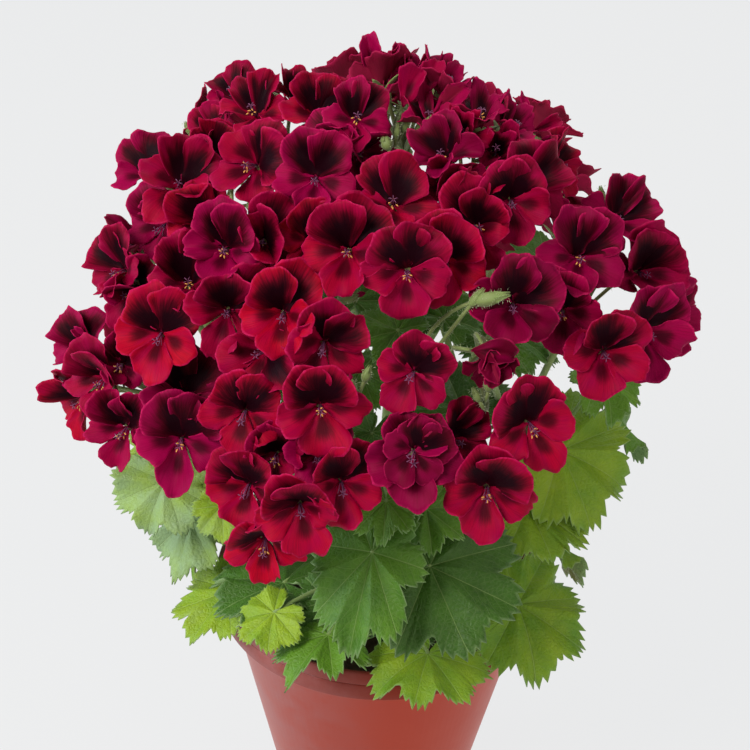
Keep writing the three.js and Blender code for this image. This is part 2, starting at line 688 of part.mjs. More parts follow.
// A leaf: a pleated fan round the end of its stalk, with the same folds on both faces, and the
// stalk drawn out of its underside along a path that ends inside the stem.
function leafSolid(leaf, path) {
  const left = LEAF_HALF_OUTLINE.map(([angle, share, relief]) => [360 - angle, share, relief]);
  const outline = [LEAF_TIP, ...LEAF_HALF_OUTLINE, LEAF_NOTCH, ...left.reverse()];
  const upperFace = [];
  const lowerFace = [];
  for (const [degrees, share, relief] of outline) {
    const angle = THREE.MathUtils.degToRad(degrees);
    const lift = leaf.reach * (relief * LEAF_RELIEF - LEAF_CUP * share * share);
    const top = leaf.place.clone()
      .addScaledVector(leaf.upper, leaf.reach * share * Math.cos(angle))
      .addScaledVector(leaf.across, leaf.reach * share * Math.sin(angle))
      .addScaledVector(leaf.facing, lift);
    upperFace.push(top);
    lowerFace.push(top.clone().addScaledVector(leaf.facing, -BLADE_THICKNESS));
  }
  const count = outline.length;
  const down = leaf.facing.clone().negate();
  const stalk = tubeRings(path, path.map(() => PETIOLE_RADIUS), PETIOLE_SIDES, leaf.upper, down);
  const points = [...upperFace, ...lowerFace, leaf.place, ...stalk];
  const heart = 2 * count;
  const stalkStart = heart + 1;
  const triangles = tubeWall(stalkStart, path.length, PETIOLE_SIDES);
  for (let k = 0; k < count; k += 1) {
    const next = (k + 1) % count;
    triangles.push([heart, k, next]);
    triangles.push([k, count + k, count + next]);
    triangles.push([k, count + next, next]);
  }
  let edge = 0;
  let step = 0;
  const stalkPoint = (number) => stalkStart + ((PETIOLE_SIDES - number) % PETIOLE_SIDES);
  while (edge < count || step < PETIOLE_SIDES) {
    const nextAngle = edge + 1 < count ? outline[edge + 1][0] : 360;
    const here = count + (edge % count);
    if (edge < count && nextAngle <= (360 / PETIOLE_SIDES) * (step + 1)) {
      triangles.push([count + ((edge + 1) % count), here, stalkPoint(step)]);
      edge += 1;
    } else {
      triangles.push([here, stalkPoint(step), stalkPoint(step + 1)]);
      step += 1;
    }
  }
  return solidOf(points, triangles);
}

// All leaves, each with its frame and the shoot that it grows on.
function placeLeaves() {
  const leaves = [];
  for (const [shoot, rows] of Object.entries(FRONT_LEAVES)) {
    for (const [x, y, front, right, up, towards, turn, reach] of rows) {
      const facing = fromView(right, up, towards);
      const frame = frameOf(atFront(x, y, front), facing, inFace(facing, turn));
      leaves.push({ ...frame, shoot, reach });
    }
  }
  for (const ring of BACK_LEAF_RINGS) {
    for (const azimuth of ring.azimuths) {
      const number = leaves.length;
      const around = THREE.MathUtils.degToRad(azimuth + RING_TURN_DRAW * (draw(number) - 0.5));
      const leaning = ring.lean + RING_LEAN_DRAW * (draw(number + 30) - 0.5);
      const lean = THREE.MathUtils.degToRad(leaning);
      const out = new THREE.Vector3(Math.cos(around), Math.sin(around), 0);
      const place = out.clone().multiplyScalar(ring.radius);
      place.z = POT_HEIGHT + ring.height + RING_HEIGHT_DRAW * (draw(number + 60) - 0.5);
      const facing = out.clone().multiplyScalar(Math.cos(lean));
      facing.z = Math.sin(lean);
      const down = out.clone().multiplyScalar(Math.sin(lean));
      down.z = -Math.cos(lean);
      const shoot = shootAt(azimuth);
      leaves.push({ ...frameOf(place, facing, down), shoot, reach: ring.reach });
    }
  }
  return leaves;
}

// The outer shoot that carries a leaf at an azimuth from +X.
function shootAt(azimuth) {
  if (azimuth < 20) return 'shoot_right';
  if (azimuth < 92) return 'shoot_back_right';
  if (azimuth < 166) return 'shoot_back_left';
  return 'shoot_left';
}

// Points up a shoot's stem, from the bottom of its hole in the soil to its top.
function stemPoints(name) {
  const { foot, top } = SHOOTS[name];
  const bottom = new THREE.Vector3(foot[0], foot[1], SOIL_TOP - STEM_HOLE_DEPTH + CLEARANCE);
  const collar = bottom.clone().setZ(SOIL_TOP + STRAIGHT_COLLAR);
  const end = new THREE.Vector3(top[0], top[1], POT_HEIGHT + top[2]);
  return [bottom, ...bow(collar, new THREE.Vector3(0, 0, 1), end, 4)];
}

// The point of a stem at a share of its height over the soil.
function onStem(points, share) {
  const curve = new THREE.CatmullRomCurve3(points.slice(1));
  return curve.getPoint(share);
}

// A green shoot: its stem, with the stalks and blades of its leaves and its heads' peduncles.
function shootSolid(name, leaves, hubs) {
  const points = stemPoints(name);
  const radii = points.map((_, i) => (
    THREE.MathUtils.lerp(STEM_RADIUS, STEM_TIP_RADIUS, Math.max(i - 1, 0) / (points.length - 2))
  ));
  let solid = rod(points, radii, STEM_SIDES);
  for (const leaf of leaves.filter((one) => one.shoot === name)) {
    const height = leaf.place.z - PETIOLE_RISE - points[1].z;
    const share = height / (points[points.length - 1].z - points[1].z);
    const from = onStem(points, THREE.MathUtils.clamp(share, LOWEST_NODE, HIGHEST_NODE));
    const under = leaf.place.clone().addScaledVector(leaf.facing, -BLADE_THICKNESS);
    const leaving = under.clone().sub(from).setZ(0).normalize().multiplyScalar(0.7);
    leaving.z = 0.7;
    solid = solid.add(leafSolid(leaf, bow(from, leaving, under, 2).reverse()));
  }
  for (const [head, hub] of Object.entries(hubs)) {
    if (HEAD_CARRIERS[head] !== name) continue;
    const from = onStem(points, HIGHEST_NODE);
    const rise = hub.centre.clone().sub(from).normalize();
    const leaving = rise.clone().multiplyScalar(0.6).add(new THREE.Vector3(0, 0, 0.5)).normalize();
    const below = hub.centre.clone().addScaledVector(hub.out, -(UMBEL_HUB_RADIUS + CLEARANCE));
    const path = bow(from, leaving, below, 2);
    solid = solid.add(rod(path, path.map(() => PEDUNCLE_RADIUS), PEDUNCLE_SIDES));
  }
  return solid;
}

// The meeting point of each head's pedicels, behind its blooms.
function umbelHubs(blooms) {
  const hubs = {};
  const core = new THREE.Vector3(0, 0, POT_HEIGHT + CORE_OVER_RIM);
  for (const head of Object.keys(HEAD_CARRIERS)) {
    const own = blooms.filter((bloom) => bloom.head === head);
    const middle = new THREE.Vector3();
    own.forEach((bloom) => middle.addScaledVector(bloom.place, 1 / own.length));
    const out = middle.clone().sub(core).normalize();
    hubs[head] = { centre: middle.addScaledVector(out, -UMBEL_DEPTH), out };
  }
  return hubs;
}

function umbelHubSolid(hub) {
  const ball = new THREE.OctahedronGeometry(UMBEL_HUB_RADIUS, 0);
  const turn = new THREE.Quaternion().setFromUnitVectors(new THREE.Vector3(0, 0, 1), hub.out);
  ball.applyQuaternion(turn).translate(hub.centre.x, hub.centre.y, hub.centre.z);
  return solidFromGeometry(ball);
}

// The radius of the inside of the pot's wall at a height.
function insideOfWall(z) {
  return BASE_RADIUS + WALL_TAPER * z - WALL_THICKNESS;
}

// The pot: one turned wall with a stepped rim band, over a recessed foot with drain holes.
function potSolid() {
  const footRingInside = BASE_RADIUS - FOOT_RING_WIDTH;
  const lipInside = RIM_RADIUS - WALL_THICKNESS;
  const profile = [
    [0, 0],
    [FOOT_DISC_RADIUS, 0],
    [FOOT_DISC_RADIUS + EDGE_CHAMFER, FOOT_RECESS],
    [footRingInside - EDGE_CHAMFER, FOOT_RECESS],
    [footRingInside, 0],
    [BASE_RADIUS, 0],
    [WALL_RADIUS_UNDER_BAND, WALL_TOP],
    [BAND_RADIUS, BAND_BOTTOM],
    [RIM_RADIUS, POT_HEIGHT - RIM_STEP],
    [RIM_RADIUS, POT_HEIGHT - EDGE_CHAMFER],
    [RIM_RADIUS - EDGE_CHAMFER, POT_HEIGHT],
    [lipInside, POT_HEIGHT],
    [lipInside - EDGE_CHAMFER, BAND_BOTTOM + WALL_THICKNESS],
    [insideOfWall(INNER_SHOULDER), INNER_SHOULDER],
    [insideOfWall(POT_FLOOR), POT_FLOOR],
    [0, POT_FLOOR],
  ].map(([x, y]) => new THREE.Vector2(x, y));
  const wall = new THREE.LatheGeometry(profile, POT_SIDES).rotateX(Math.PI / 2);
  let pot = solidFromGeometry(wall);
  for (let k = 0; k < DRAIN_HOLES; k += 1) {
    const angle = (k / DRAIN_HOLES) * 2 * Math.PI;
    const radius = (FOOT_DISC_RADIUS + footRingInside) / 2;
    const centre = new THREE.Vector3(radius * Math.cos(angle), radius * Math.sin(angle), 0);
    const above = centre.clone().setZ(2 * POT_FLOOR);
    const radii = [DRAIN_HOLE_RADIUS, DRAIN_HOLE_RADIUS];
    pot = pot.subtract(rod([centre.setZ(-POT_FLOOR), above], radii, DRAIN_HOLE_SIDES));
  }
  return pot;
}

// The soil: a body that fills the pot, crowned in the middle, with a plain hole for each stem.
function soilSolid() {
  const flatSide = Math.cos(Math.PI / POT_SIDES);
  const fit = (z) => insideOfWall(z) * flatSide - CLEARANCE;
  const floor = POT_FLOOR + CLEARANCE;
  const rimOfSoil = fit(INNER_SHOULDER);
  const profile = [
    [0, floor],
    [fit(floor), floor],
    [rimOfSoil, INNER_SHOULDER],
    [rimOfSoil + 1, SOIL_TOP - SOIL_CROWN],
    [rimOfSoil * 0.7, SOIL_TOP - SOIL_CROWN * 0.3],
    [0, SOIL_TOP],
  ].map(([x, y]) => new THREE.Vector2(x, y));
  let soil = solidFromGeometry(new THREE.LatheGeometry(profile, SOIL_SIDES).rotateX(Math.PI / 2));
  for (const { foot } of Object.values(SHOOTS)) {
    const bottom = new THREE.Vector3(foot[0], foot[1], SOIL_TOP - STEM_HOLE_DEPTH);
    const mouth = bottom.clone().setZ(POT_HEIGHT);
    const radius = STEM_RADIUS + 2 * CLEARANCE;
    soil = soil.subtract(rod([bottom, mouth], [radius, radius], STEM_SIDES));
  }
  return soil;
}

const group = new THREE.Group();

// Adds a solid to the group as a named mesh in its own colour.
function addPiece(name, solid, colour, roughness) {
  const { vertProperties, triVerts } = solid.getMesh();
  const geometry = new THREE.BufferGeometry();
  geometry.setAttribute('position', new THREE.BufferAttribute(vertProperties, 3));
  geometry.setIndex(new THREE.BufferAttribute(triVerts, 1));
  geometry.computeVertexNormals();
  const material = new THREE.MeshStandardMaterial({ color: colour, roughness, metalness: 0 });
  const mesh = new THREE.Mesh(geometry, material);
  mesh.name = name;
  group.add(mesh);
}

const blooms = placeBlooms();
blooms.forEach((bloom, number) => {
  bloom.number = number;
});
const leaves = placeLeaves();
const hubs = umbelHubs(blooms);

addPiece('pot', potSolid(), POT_COLOUR, 0.45);
addPiece('soil', soilSolid(), SOIL_COLOUR, 1);
for (const name of Object.keys(SHOOTS)) {
  addPiece(name, shootSolid(name, leaves, hubs), LEAF_COLOUR, 0.6);
}
for (const [head, hub] of Object.entries(hubs)) {
  let solid = umbelHubSolid(hub);
  for (const bloom of blooms.filter((one) => one.head === head)) {
    solid = solid.add(bloomSolid(bloom, blooms, hub.centre));
  }
  addPiece(`head_${head}`, solid, PETAL_COLOUR, 0.7);
}

export default group;
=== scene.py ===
# A regal pelargonium in flower, in a round terracotta-coloured plastic pot.
# Lengths are in millimetres up to the moment that a mesh is made; +Z is up, the front faces -Y.
import math

import bmesh
import bpy
from mathutils import Matrix, Vector, noise


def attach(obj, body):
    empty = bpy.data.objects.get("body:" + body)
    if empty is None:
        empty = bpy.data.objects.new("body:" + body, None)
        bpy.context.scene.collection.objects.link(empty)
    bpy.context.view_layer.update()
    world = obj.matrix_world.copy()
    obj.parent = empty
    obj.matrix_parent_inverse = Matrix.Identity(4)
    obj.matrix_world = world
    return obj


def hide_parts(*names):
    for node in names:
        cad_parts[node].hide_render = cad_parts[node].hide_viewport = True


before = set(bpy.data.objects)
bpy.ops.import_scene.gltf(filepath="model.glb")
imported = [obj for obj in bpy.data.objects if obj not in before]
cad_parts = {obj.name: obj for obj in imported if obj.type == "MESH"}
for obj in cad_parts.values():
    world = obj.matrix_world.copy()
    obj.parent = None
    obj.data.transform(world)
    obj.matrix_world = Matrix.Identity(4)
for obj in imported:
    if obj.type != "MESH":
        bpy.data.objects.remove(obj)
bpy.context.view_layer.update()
scene = bpy.context.scene

# Camera: the plant is seen from in front and above, at about arm's length with a long lens.
# The picture leans by a couple of degrees, as the photograph does.
pot_height = 130.0
looks_at = Vector((-4.5, 0.0, pot_height + 104.8))
camera_tilt = math.radians(32.35)
camera_roll = math.radians(1.8)
camera_distance = 800.0
picture_width = 750.0
picture_focal = 1842.0
view_right = Vector((1.0, 0.0, 0.0))
view_up = Vector((0.0, math.sin(camera_tilt), math.cos(camera_tilt)))
view_back = Vector((0.0, -math.cos(camera_tilt), math.sin(camera_tilt)))
viewpoint = looks_at + view_back * camera_distance

camera_data = bpy.data.cameras.new("camera")
camera_data.sensor_width = 36.0
camera_data.lens = picture_focal / picture_width * camera_data.sensor_width
camera = bpy.data.objects.new("camera", camera_data)
scene.collection.objects.link(camera)
rolled_right = view_right * math.cos(camera_roll) + view_up * math.sin(camera_roll)
rolled_up = view_up * math.cos(camera_roll) - view_right * math.sin(camera_roll)
camera.matrix_world = (
    Matrix.Translation(viewpoint / 1000.0)
    @ Matrix((rolled_right, rolled_up, view_back)).transposed().to_4x4()
)
scene.camera = camera
scene.view_settings.view_transform = "Standard"

# Studio: a sheet of pale translucent board, lit from below so that no shadow shows on it, and
# four softboxes: a wide one over the left shoulder, weaker ones from the right and from behind
# on the left, and one from above and behind.


def linear(hex_colour):
    """Turns an sRGB hex colour such as "#a4462f" to the linear colour that a shader takes."""
    shares = [int(hex_colour[i:i + 2], 16) / 255.0 for i in (1, 3, 5)]
    return (*(s / 12.92 if s <= 0.04045 else ((s + 0.055) / 1.055) ** 2.4 for s in shares), 1.0)


def wire(node, inputs):
    """Sets a node's inputs: each takes a value, a socket, or another node's first output."""
    for name, value in inputs.items():
        named = (s for s in node.inputs if s.enabled and s.name == name)
        socket = node.inputs[name] if isinstance(name, int) else next(named)
        if isinstance(value, bpy.types.Node):
            value = next(s for s in value.outputs if s.enabled)
        if isinstance(value, bpy.types.NodeSocket):
            node.id_data.links.new(value, socket)
        else:
            socket.default_value = value
    return node


def new_material(name, surface):
    """Starts a material, whose surface takes the given values."""
    material = bpy.data.materials.new(name)
    material.use_nodes = True
    wire(material.node_tree.nodes["Principled BSDF"], surface)
    return material


board_material = new_material("matt_lit_board", {
    "Base Color": linear("#40403f"), "Roughness": 0.95, "Specular IOR Level": 0.0,
    "Emission Color": linear("#ecedee"), "Emission Strength": 0.93})
board_mesh = bpy.data.meshes.new("board")
board_shape = bmesh.new()
bmesh.ops.create_grid(board_shape, x_segments=1, y_segments=1, size=4.0)
bmesh.ops.translate(board_shape, verts=board_shape.verts, vec=(0.0, 0.0, -0.0003))
board_shape.to_mesh(board_mesh)
board_shape.free()
board_mesh.materials.append(board_material)
board = bpy.data.objects.new("board", board_mesh)
scene.collection.objects.link(board)

surround = bpy.data.worlds.new("surround")
surround.use_nodes = True
wire(surround.node_tree.nodes["Background"], {"Color": linear("#eef1f6"), "Strength": 0.3})
scene.world = surround

lit_middle = Vector((0.0, 0.0, 0.22))


def hang_softbox(name, place, size, power, tint):
    """Hangs a square softbox at a place in metres, turned to the middle of the plant."""
    light = bpy.data.lights.new(name, "AREA")
    light.shape = "SQUARE"
    light.size = size
    light.energy = power
    light.color = linear(tint)[:3]
    holder = bpy.data.objects.new(name, light)
    holder.location = place
    holder.rotation_euler = (lit_middle - Vector(place)).to_track_quat("-Z", "Y").to_euler()
    scene.collection.objects.link(holder)


hang_softbox("key_softbox", (-0.85, -0.85, 1.35), 0.8, 25.0, "#fffaf4")
hang_softbox("fill_softbox", (1.2, -1.1, 0.9), 1.0, 7.5, "#fff3e8")
hang_softbox("left_softbox", (-1.5, 0.1, 0.55), 0.8, 12.0, "#e6f0ff")
hang_softbox("top_softbox", (0.3, 0.9, 1.4), 0.9, 9.0, "#fdfaf6")

# Pot: a thin-walled nursery pot, injection moulded in terracotta-coloured polypropylene. A
# stepped band stiffens the rim; the foot has a ring, a middle disc and drainage holes.
rim_radius = 75.0
band_radius = 74.0
band_bottom = pot_height - 16.5
wall_radius_under_band = 67.7
wall_taper = 0.218
wall = 2.0
wall_top = band_bottom - 3.5
base_radius = wall_radius_under_band - wall_taper * wall_top
foot_recess = 2.5
foot_disc_radius = 12.0
foot_ring_inside = base_radius - 5.0
pot_floor = foot_recess + wall
inner_shoulder = band_bottom - 4.0
drain_holes = 5
drain_hole_radius = 4.0


def inside_of_wall(height):
    """The radius of the pot's inside under its band, at a height."""
    return base_radius + wall_taper * height - wall


pot_profile = [
    (0.0, 0.0),
    (foot_disc_radius, 0.0),
    (foot_disc_radius + 1.0, foot_recess),
    (foot_ring_inside - 1.0, foot_recess),
    (foot_ring_inside, 0.0),
    (base_radius - 0.8, 0.0),
    (base_radius, 0.8),
    (wall_radius_under_band - 0.1, wall_top),
    (wall_radius_under_band + 1.2, wall_top + 1.0),
    (band_radius - 1.3, band_bottom - 0.6),
    (band_radius - 0.5, band_bottom),
    (band_radius - 0.1, band_bottom + 0.7),
    (band_radius, pot_height - 8.6),
    (band_radius - 0.3, pot_height - 8.2),
    (band_radius - 0.9, pot_height - 7.9),
    (band_radius - 0.9, pot_height - 7.3),
    (rim_radius - 0.3, pot_height - 6.9),
    (rim_radius, pot_height - 6.3),
    (rim_radius, pot_height - 1.0),
    (rim_radius - 0.35, pot_height - 0.25),
    (rim_radius - 1.0, pot_height),
    (rim_radius - 1.7, pot_height - 0.2),
    (rim_radius - 2.1, pot_height - 1.0),
    (rim_radius - 3.0, pot_height - 7.2),
    (rim_radius - 3.3, band_bottom + 2.0),
    (inside_of_wall(inner_shoulder), inner_shoulder),
    (inside_of_wall(pot_floor), pot_floor),
    (0.0, pot_floor),
]


def turned_body(mesh, profile, steps):
    """Spins a profile of radius and height once round the pot's axis into a closed body."""
    points = [mesh.verts.new((radius / 1000.0, 0.0, height / 1000.0)) for radius, height in profile]
    edges = [mesh.edges.new(pair) for pair in zip(points, points[1:])]
    bmesh.ops.spin(
        mesh, geom=points + edges, cent=(0, 0, 0), axis=(0, 0, 1), dvec=(0, 0, 0),
        angle=math.tau, steps=steps, use_merge=True,
    )
    bmesh.ops.remove_doubles(mesh, verts=mesh.verts, dist=1e-6)
    bmesh.ops.recalc_face_normals(mesh, faces=mesh.faces)
    for face in mesh.faces:
        face.smooth = True


def add_piece(name, mesh, materials, slot, *nodes):
    """Makes an object of a finished mesh, which rides on the plant and stands for CAD nodes."""
    data = bpy.data.meshes.new(name)
    mesh.to_mesh(data)
    mesh.free()
    for material in materials:
        data.materials.append(material)
    piece = bpy.data.objects.new(name, data)
    scene.collection.objects.link(piece)
    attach(piece, "root")
    if nodes:
        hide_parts(*nodes)
    return piece


def add_node(tree, kind, inputs, **settings):
    """Adds a shader node with its settings and links."""
    node = tree.nodes.new("ShaderNode" + kind)
    for name, value in settings.items():
        setattr(node, name, value)
    return wire(node, inputs)


# Moulded polypropylene: satin and a little waxy, so its edges take thin bright lines. Water
# marks and handling smudges 1 to 2 cm wide lie on it as a faint bluish film; that the film grows
# stronger to the left is painted sheen from the softboxes on that side. The rim band is painted
# a deeper brown, as painted shade where the light from above meets it at a slant. The fine
# grain of the moulded skin is drawn about 1 mm wide, coarser than life.
pot_material = new_material("moulded_polypropylene_terracotta", {
    "IOR": 1.42, "Specular IOR Level": 0.1})
pot_tree = pot_material.node_tree
pot_place = add_node(pot_tree, "TexCoord", {}).outputs["Object"]
smudge = add_node(pot_tree, "TexNoise", {
    "Vector": pot_place, "Scale": 55.0, "Detail": 8.0, "Roughness": 0.68})
smudged = add_node(pot_tree, "MapRange", {
    "Value": smudge, "From Min": 0.35, "From Max": 0.7, "To Min": 0.25, "To Max": 0.75})
pot_sides = add_node(pot_tree, "SeparateXYZ", {0: pot_place})
# Painted sheen: the bluish film is made stronger towards the left, where the softboxes light the
# pot; the smudge pattern itself is dirt.
painted_sheen_side = add_node(pot_tree, "MapRange", {
    "Value": pot_sides.outputs["X"], "From Min": -0.065, "From Max": 0.02, "To Min": 1.0,
    "To Max": 0.05}, interpolation_type="SMOOTHSTEP")
smudge_and_sheen = add_node(pot_tree, "Math", {0: smudged, 1: painted_sheen_side}, operation="MULTIPLY")
cloud = add_node(pot_tree, "TexNoise", {
    "Vector": pot_place, "Scale": 9.0, "Detail": 3.0, "Roughness": 0.5})
pot_clay = add_node(pot_tree, "Mix", {
    "Factor": cloud, "A": linear("#a82804"), "B": linear("#bd3a08")}, data_type="RGBA")
# Painted shade: the clay of the rim band, above the band's bottom, is mixed towards a deeper brown.
rim_shade_share = add_node(pot_tree, "MapRange", {
    "Value": pot_sides.outputs["Z"], "From Min": band_bottom / 1000.0,
    "From Max": band_bottom / 1000.0 + 0.001, "To Max": 0.8})
shaded_rim_clay = add_node(pot_tree, "Mix", {
    "Factor": rim_shade_share, "A": pot_clay, "B": linear("#6c2414")}, data_type="RGBA")
pot_colour = add_node(pot_tree, "Mix", {
    "Factor": smudge_and_sheen, "A": shaded_rim_clay, "B": linear("#a87878")}, data_type="RGBA")
pot_roughness = add_node(pot_tree, "MapRange", {
    "Value": smudge, "To Min": 0.26, "To Max": 0.42})
pot_grain = add_node(pot_tree, "TexNoise", {
    "Vector": pot_place, "Scale": 900.0, "Detail": 2.0})
pot_bump = add_node(pot_tree, "Bump", {
    "Height": pot_grain, "Strength": 0.08, "Distance": 0.0002})
wire(pot_tree.nodes["Principled BSDF"], {
    "Base Color": pot_colour, "Roughness": pot_roughness, "Normal": pot_bump})

pot_shape = bmesh.new()
turned_body(pot_shape, pot_profile, 120)
pot = add_piece("flower_pot", pot_shape, [pot_material], "pot", "pot")

drill_shape = bmesh.new()
for number in range(drain_holes):
    angle = number / drain_holes * math.tau
    ring = (foot_disc_radius + foot_ring_inside) / 2000.0
    bmesh.ops.create_cone(
        drill_shape, cap_ends=True, segments=24, radius1=drain_hole_radius / 1000.0,
        radius2=drain_hole_radius / 1000.0, depth=0.02,
        matrix=Matrix.Translation((ring * math.cos(angle), ring * math.sin(angle), 0.003)),
    )
drill_mesh = bpy.data.meshes.new("drain_drill")
drill_shape.to_mesh(drill_mesh)
drill_shape.free()
drill = bpy.data.objects.new("drain_drill", drill_mesh)
scene.collection.objects.link(drill)
drilling = pot.modifiers.new("drain_holes", "BOOLEAN")
drilling.operation = "DIFFERENCE"
drilling.solver = "EXACT"
drilling.object = drill
bpy.context.view_layer.update()
drilled = bpy.data.meshes.new_from_object(pot.evaluated_get(bpy.context.evaluated_depsgraph_get()))
pot.modifiers.clear()
pot.data = drilled
bpy.data.objects.remove(drill)

# Soil: peat-based potting compost, filled to a finger's width under the rim and settled. It is
# one body with a top of 2 to 3 mm crumbs, dark because it is damp.
soil_material = new_material("damp_peat_compost", {"Roughness": 0.95})
soil_tree = soil_material.node_tree
soil_place = add_node(soil_tree, "TexCoord", {}).outputs["Object"]
crumb_tone = add_node(soil_tree, "TexVoronoi", {"Vector": soil_place, "Scale": 420.0})
soil_colour = add_node(soil_tree, "Mix", {
    "Factor": crumb_tone, "A": linear("#1d150f"), "B": linear("#4a3626")}, data_type="RGBA")
soil_bump = add_node(soil_tree, "Bump", {
    "Height": crumb_tone, "Strength": 0.6, "Distance": 0.0008})
wire(soil_tree.nodes["Principled BSDF"], {"Base Color": soil_colour, "Normal": soil_bump})

soil_top = pot_height - 12.0
soil_crown = 5.0
soil_floor = pot_floor + 0.3
soil_edge = inside_of_wall(inner_shoulder) - 0.9
soil_steps = 14
soil_profile = [
    (0.0, soil_floor),
    (inside_of_wall(pot_floor) - 0.8, soil_floor),
    (soil_edge, inner_shoulder),
]
for step in range(soil_steps + 1):
    share = 1.0 - step / soil_steps
    soil_profile.append((soil_edge * share, soil_top - soil_crown * share ** 2))
soil_shape = bmesh.new()
turned_body(soil_shape, soil_profile, 96)
for vertex in soil_shape.verts:
    if vertex.co.z > (inner_shoulder + 1.0) / 1000.0:
        crumb = noise.noise(vertex.co * 160.0) + 0.6 * noise.noise(vertex.co * 420.0)
        vertex.co.z += 0.0016 * crumb
add_piece("potting_soil", soil_shape, [soil_material], "soil", "soil")

# Shoots: six leafy stems that stand in the soil, each with its leaf stalks, toothed and
# pleated leaves, and the round green stalks that carry the flower heads.
# A place in the picture is given as x, y; a facing as right, up, towards the viewer.


def draw(number):
    """A repeatable draw between 0 and 1 for a numbered thing."""
    wave = math.sin(number * 12.9898) * 43758.5453
    return wave - math.floor(wave)


def from_view(right, up, towards):
    """The direction in space of a direction given as right, up and towards the viewer."""
    return (view_right * right + view_up * up + view_back * towards).normalized()


def sight(x, y):
    """The line of sight through a picture point."""
    across = x - picture_width / 2.0
    above = picture_width / 2.0 - y
    right = across * math.cos(camera_roll) - above * math.sin(camera_roll)
    up = above * math.cos(camera_roll) + across * math.sin(camera_roll)
    return from_view(right, up, -picture_focal)


def at_front(x, y, front):
    """Where a line of sight passes a plane at a distance in front of the pot's axis."""
    ray = sight(x, y)
    return viewpoint + ray * ((-front - viewpoint.y) / ray.y)


def in_face(facing, turn):
    """The picture direction a number of degrees clockwise from upright, laid into a face."""
    angle = math.radians(turn) + camera_roll
    way = from_view(math.sin(angle), math.cos(angle), 0.0)
    return (way - facing * way.dot(facing)).normalized()


def open_form():
    """A new mesh with the two sets of values that the plant's materials read."""
    mesh = bmesh.new()
    mesh.verts.layers.float_color.new("run")
    mesh.verts.layers.float_color.new("tone")
    return mesh


def finish_faces(corners, material):
    """Gives the faces at these corners their material and a smooth shade."""
    for face in {face for corner in corners for face in corner.link_faces}:
        face.material_index = material
        face.smooth = True


def lay_grid(mesh, across, along, material, place):
    """Lays a grid into a mesh: place(a, b) gives the point and its run and tone values."""
    run_values = mesh.verts.layers.float_color["run"]
    tone_values = mesh.verts.layers.float_color["tone"]
    made = bmesh.ops.create_grid(mesh, x_segments=across, y_segments=along, size=1.0)["verts"]
    for vertex in made:
        point, run, tone = place(vertex.co.x, vertex.co.y)
        vertex.co = point / 1000.0
        vertex[run_values] = (*run, 1.0)
        vertex[tone_values] = (*tone, 1.0)
    finish_faces(made, material)
    return made


def thicken(mesh, thickness):
    """Gives the sheets in a mesh their thickness, and marks the underside in tone's green."""
    tone_values = mesh.verts.layers.float_color["tone"]
    made = bmesh.ops.solidify(mesh, geom=mesh.faces[:], thickness=thickness / 1000.0)["geom"]
    for part in made:
        if isinstance(part, bmesh.types.BMVert):
            tone = part[tone_values]
            part[tone_values] = (tone[0], 1.0, tone[2], 1.0)


def bow(start, leaving, end, steps):
    """Points along a stalk that leaves one point in a direction and ends at another."""
    bend = start + leaving * ((end - start).length * 0.45)
    points = []
    for step in range(steps + 1):
        t = step / steps
        points.append(start * (1 - t) ** 2 + bend * (2 * t * (1 - t)) + end * t ** 2)
    return points


def lay_stalk(mesh, points, radii, sides, material, tint, swell=0.0):
    """Lays a closed round stalk along points; run holds the length in cm, tone the tint."""
    rings = len(points) + 1
    alongs = [(points[min(i + 1, len(points) - 1)] - points[max(i - 1, 0)]).normalized()
              for i in range(len(points))]
    side = Vector((0.31, 0.9, 0.17))
    frames = []
    length = 0.0
    for i, point in enumerate(points):
        side = (side - alongs[i] * side.dot(alongs[i])).normalized()
        length += (point - points[i - 1]).length if i else 0.0
        frames.append((point, side.copy(), alongs[i].cross(side), radii[i], length))

    def place(a, b):
        ring = min(max(round((b + 1.0) / 2.0 * rings), 0), rings)
        inner = min(max(ring - 1, 0), len(points) - 1)
        point, aside, other, radius, run = frames[inner]
        radius = 0.0 if ring in (0, rings) else radius
        angle = a * math.pi
        lumps = 1.0 + swell * math.sin(angle * 5.0)
        offset = (aside * math.cos(angle) + other * math.sin(angle)) * radius * lumps
        return point + offset, (angle, run / 10.0, 0.0), (tint, 0.0, 0.0)

    made = lay_grid(mesh, sides, rings, material, place)
    bmesh.ops.remove_doubles(mesh, verts=made, dist=1e-6)


stem_radius = 3.4
stem_tip_radius = 2.1
peduncle_radius = 1.5
petiole_radius = 1.1
petiole_rise = 22.0
stem_hole_depth = 26.0
stem_collar = 8.0
lowest_node = 0.08
highest_node = 0.97
leaf_thickness = 0.45
# The places of a shoot's materials: blade, stalk and hair.
leaf_slot, stalk_slot, down_slot = range(3)
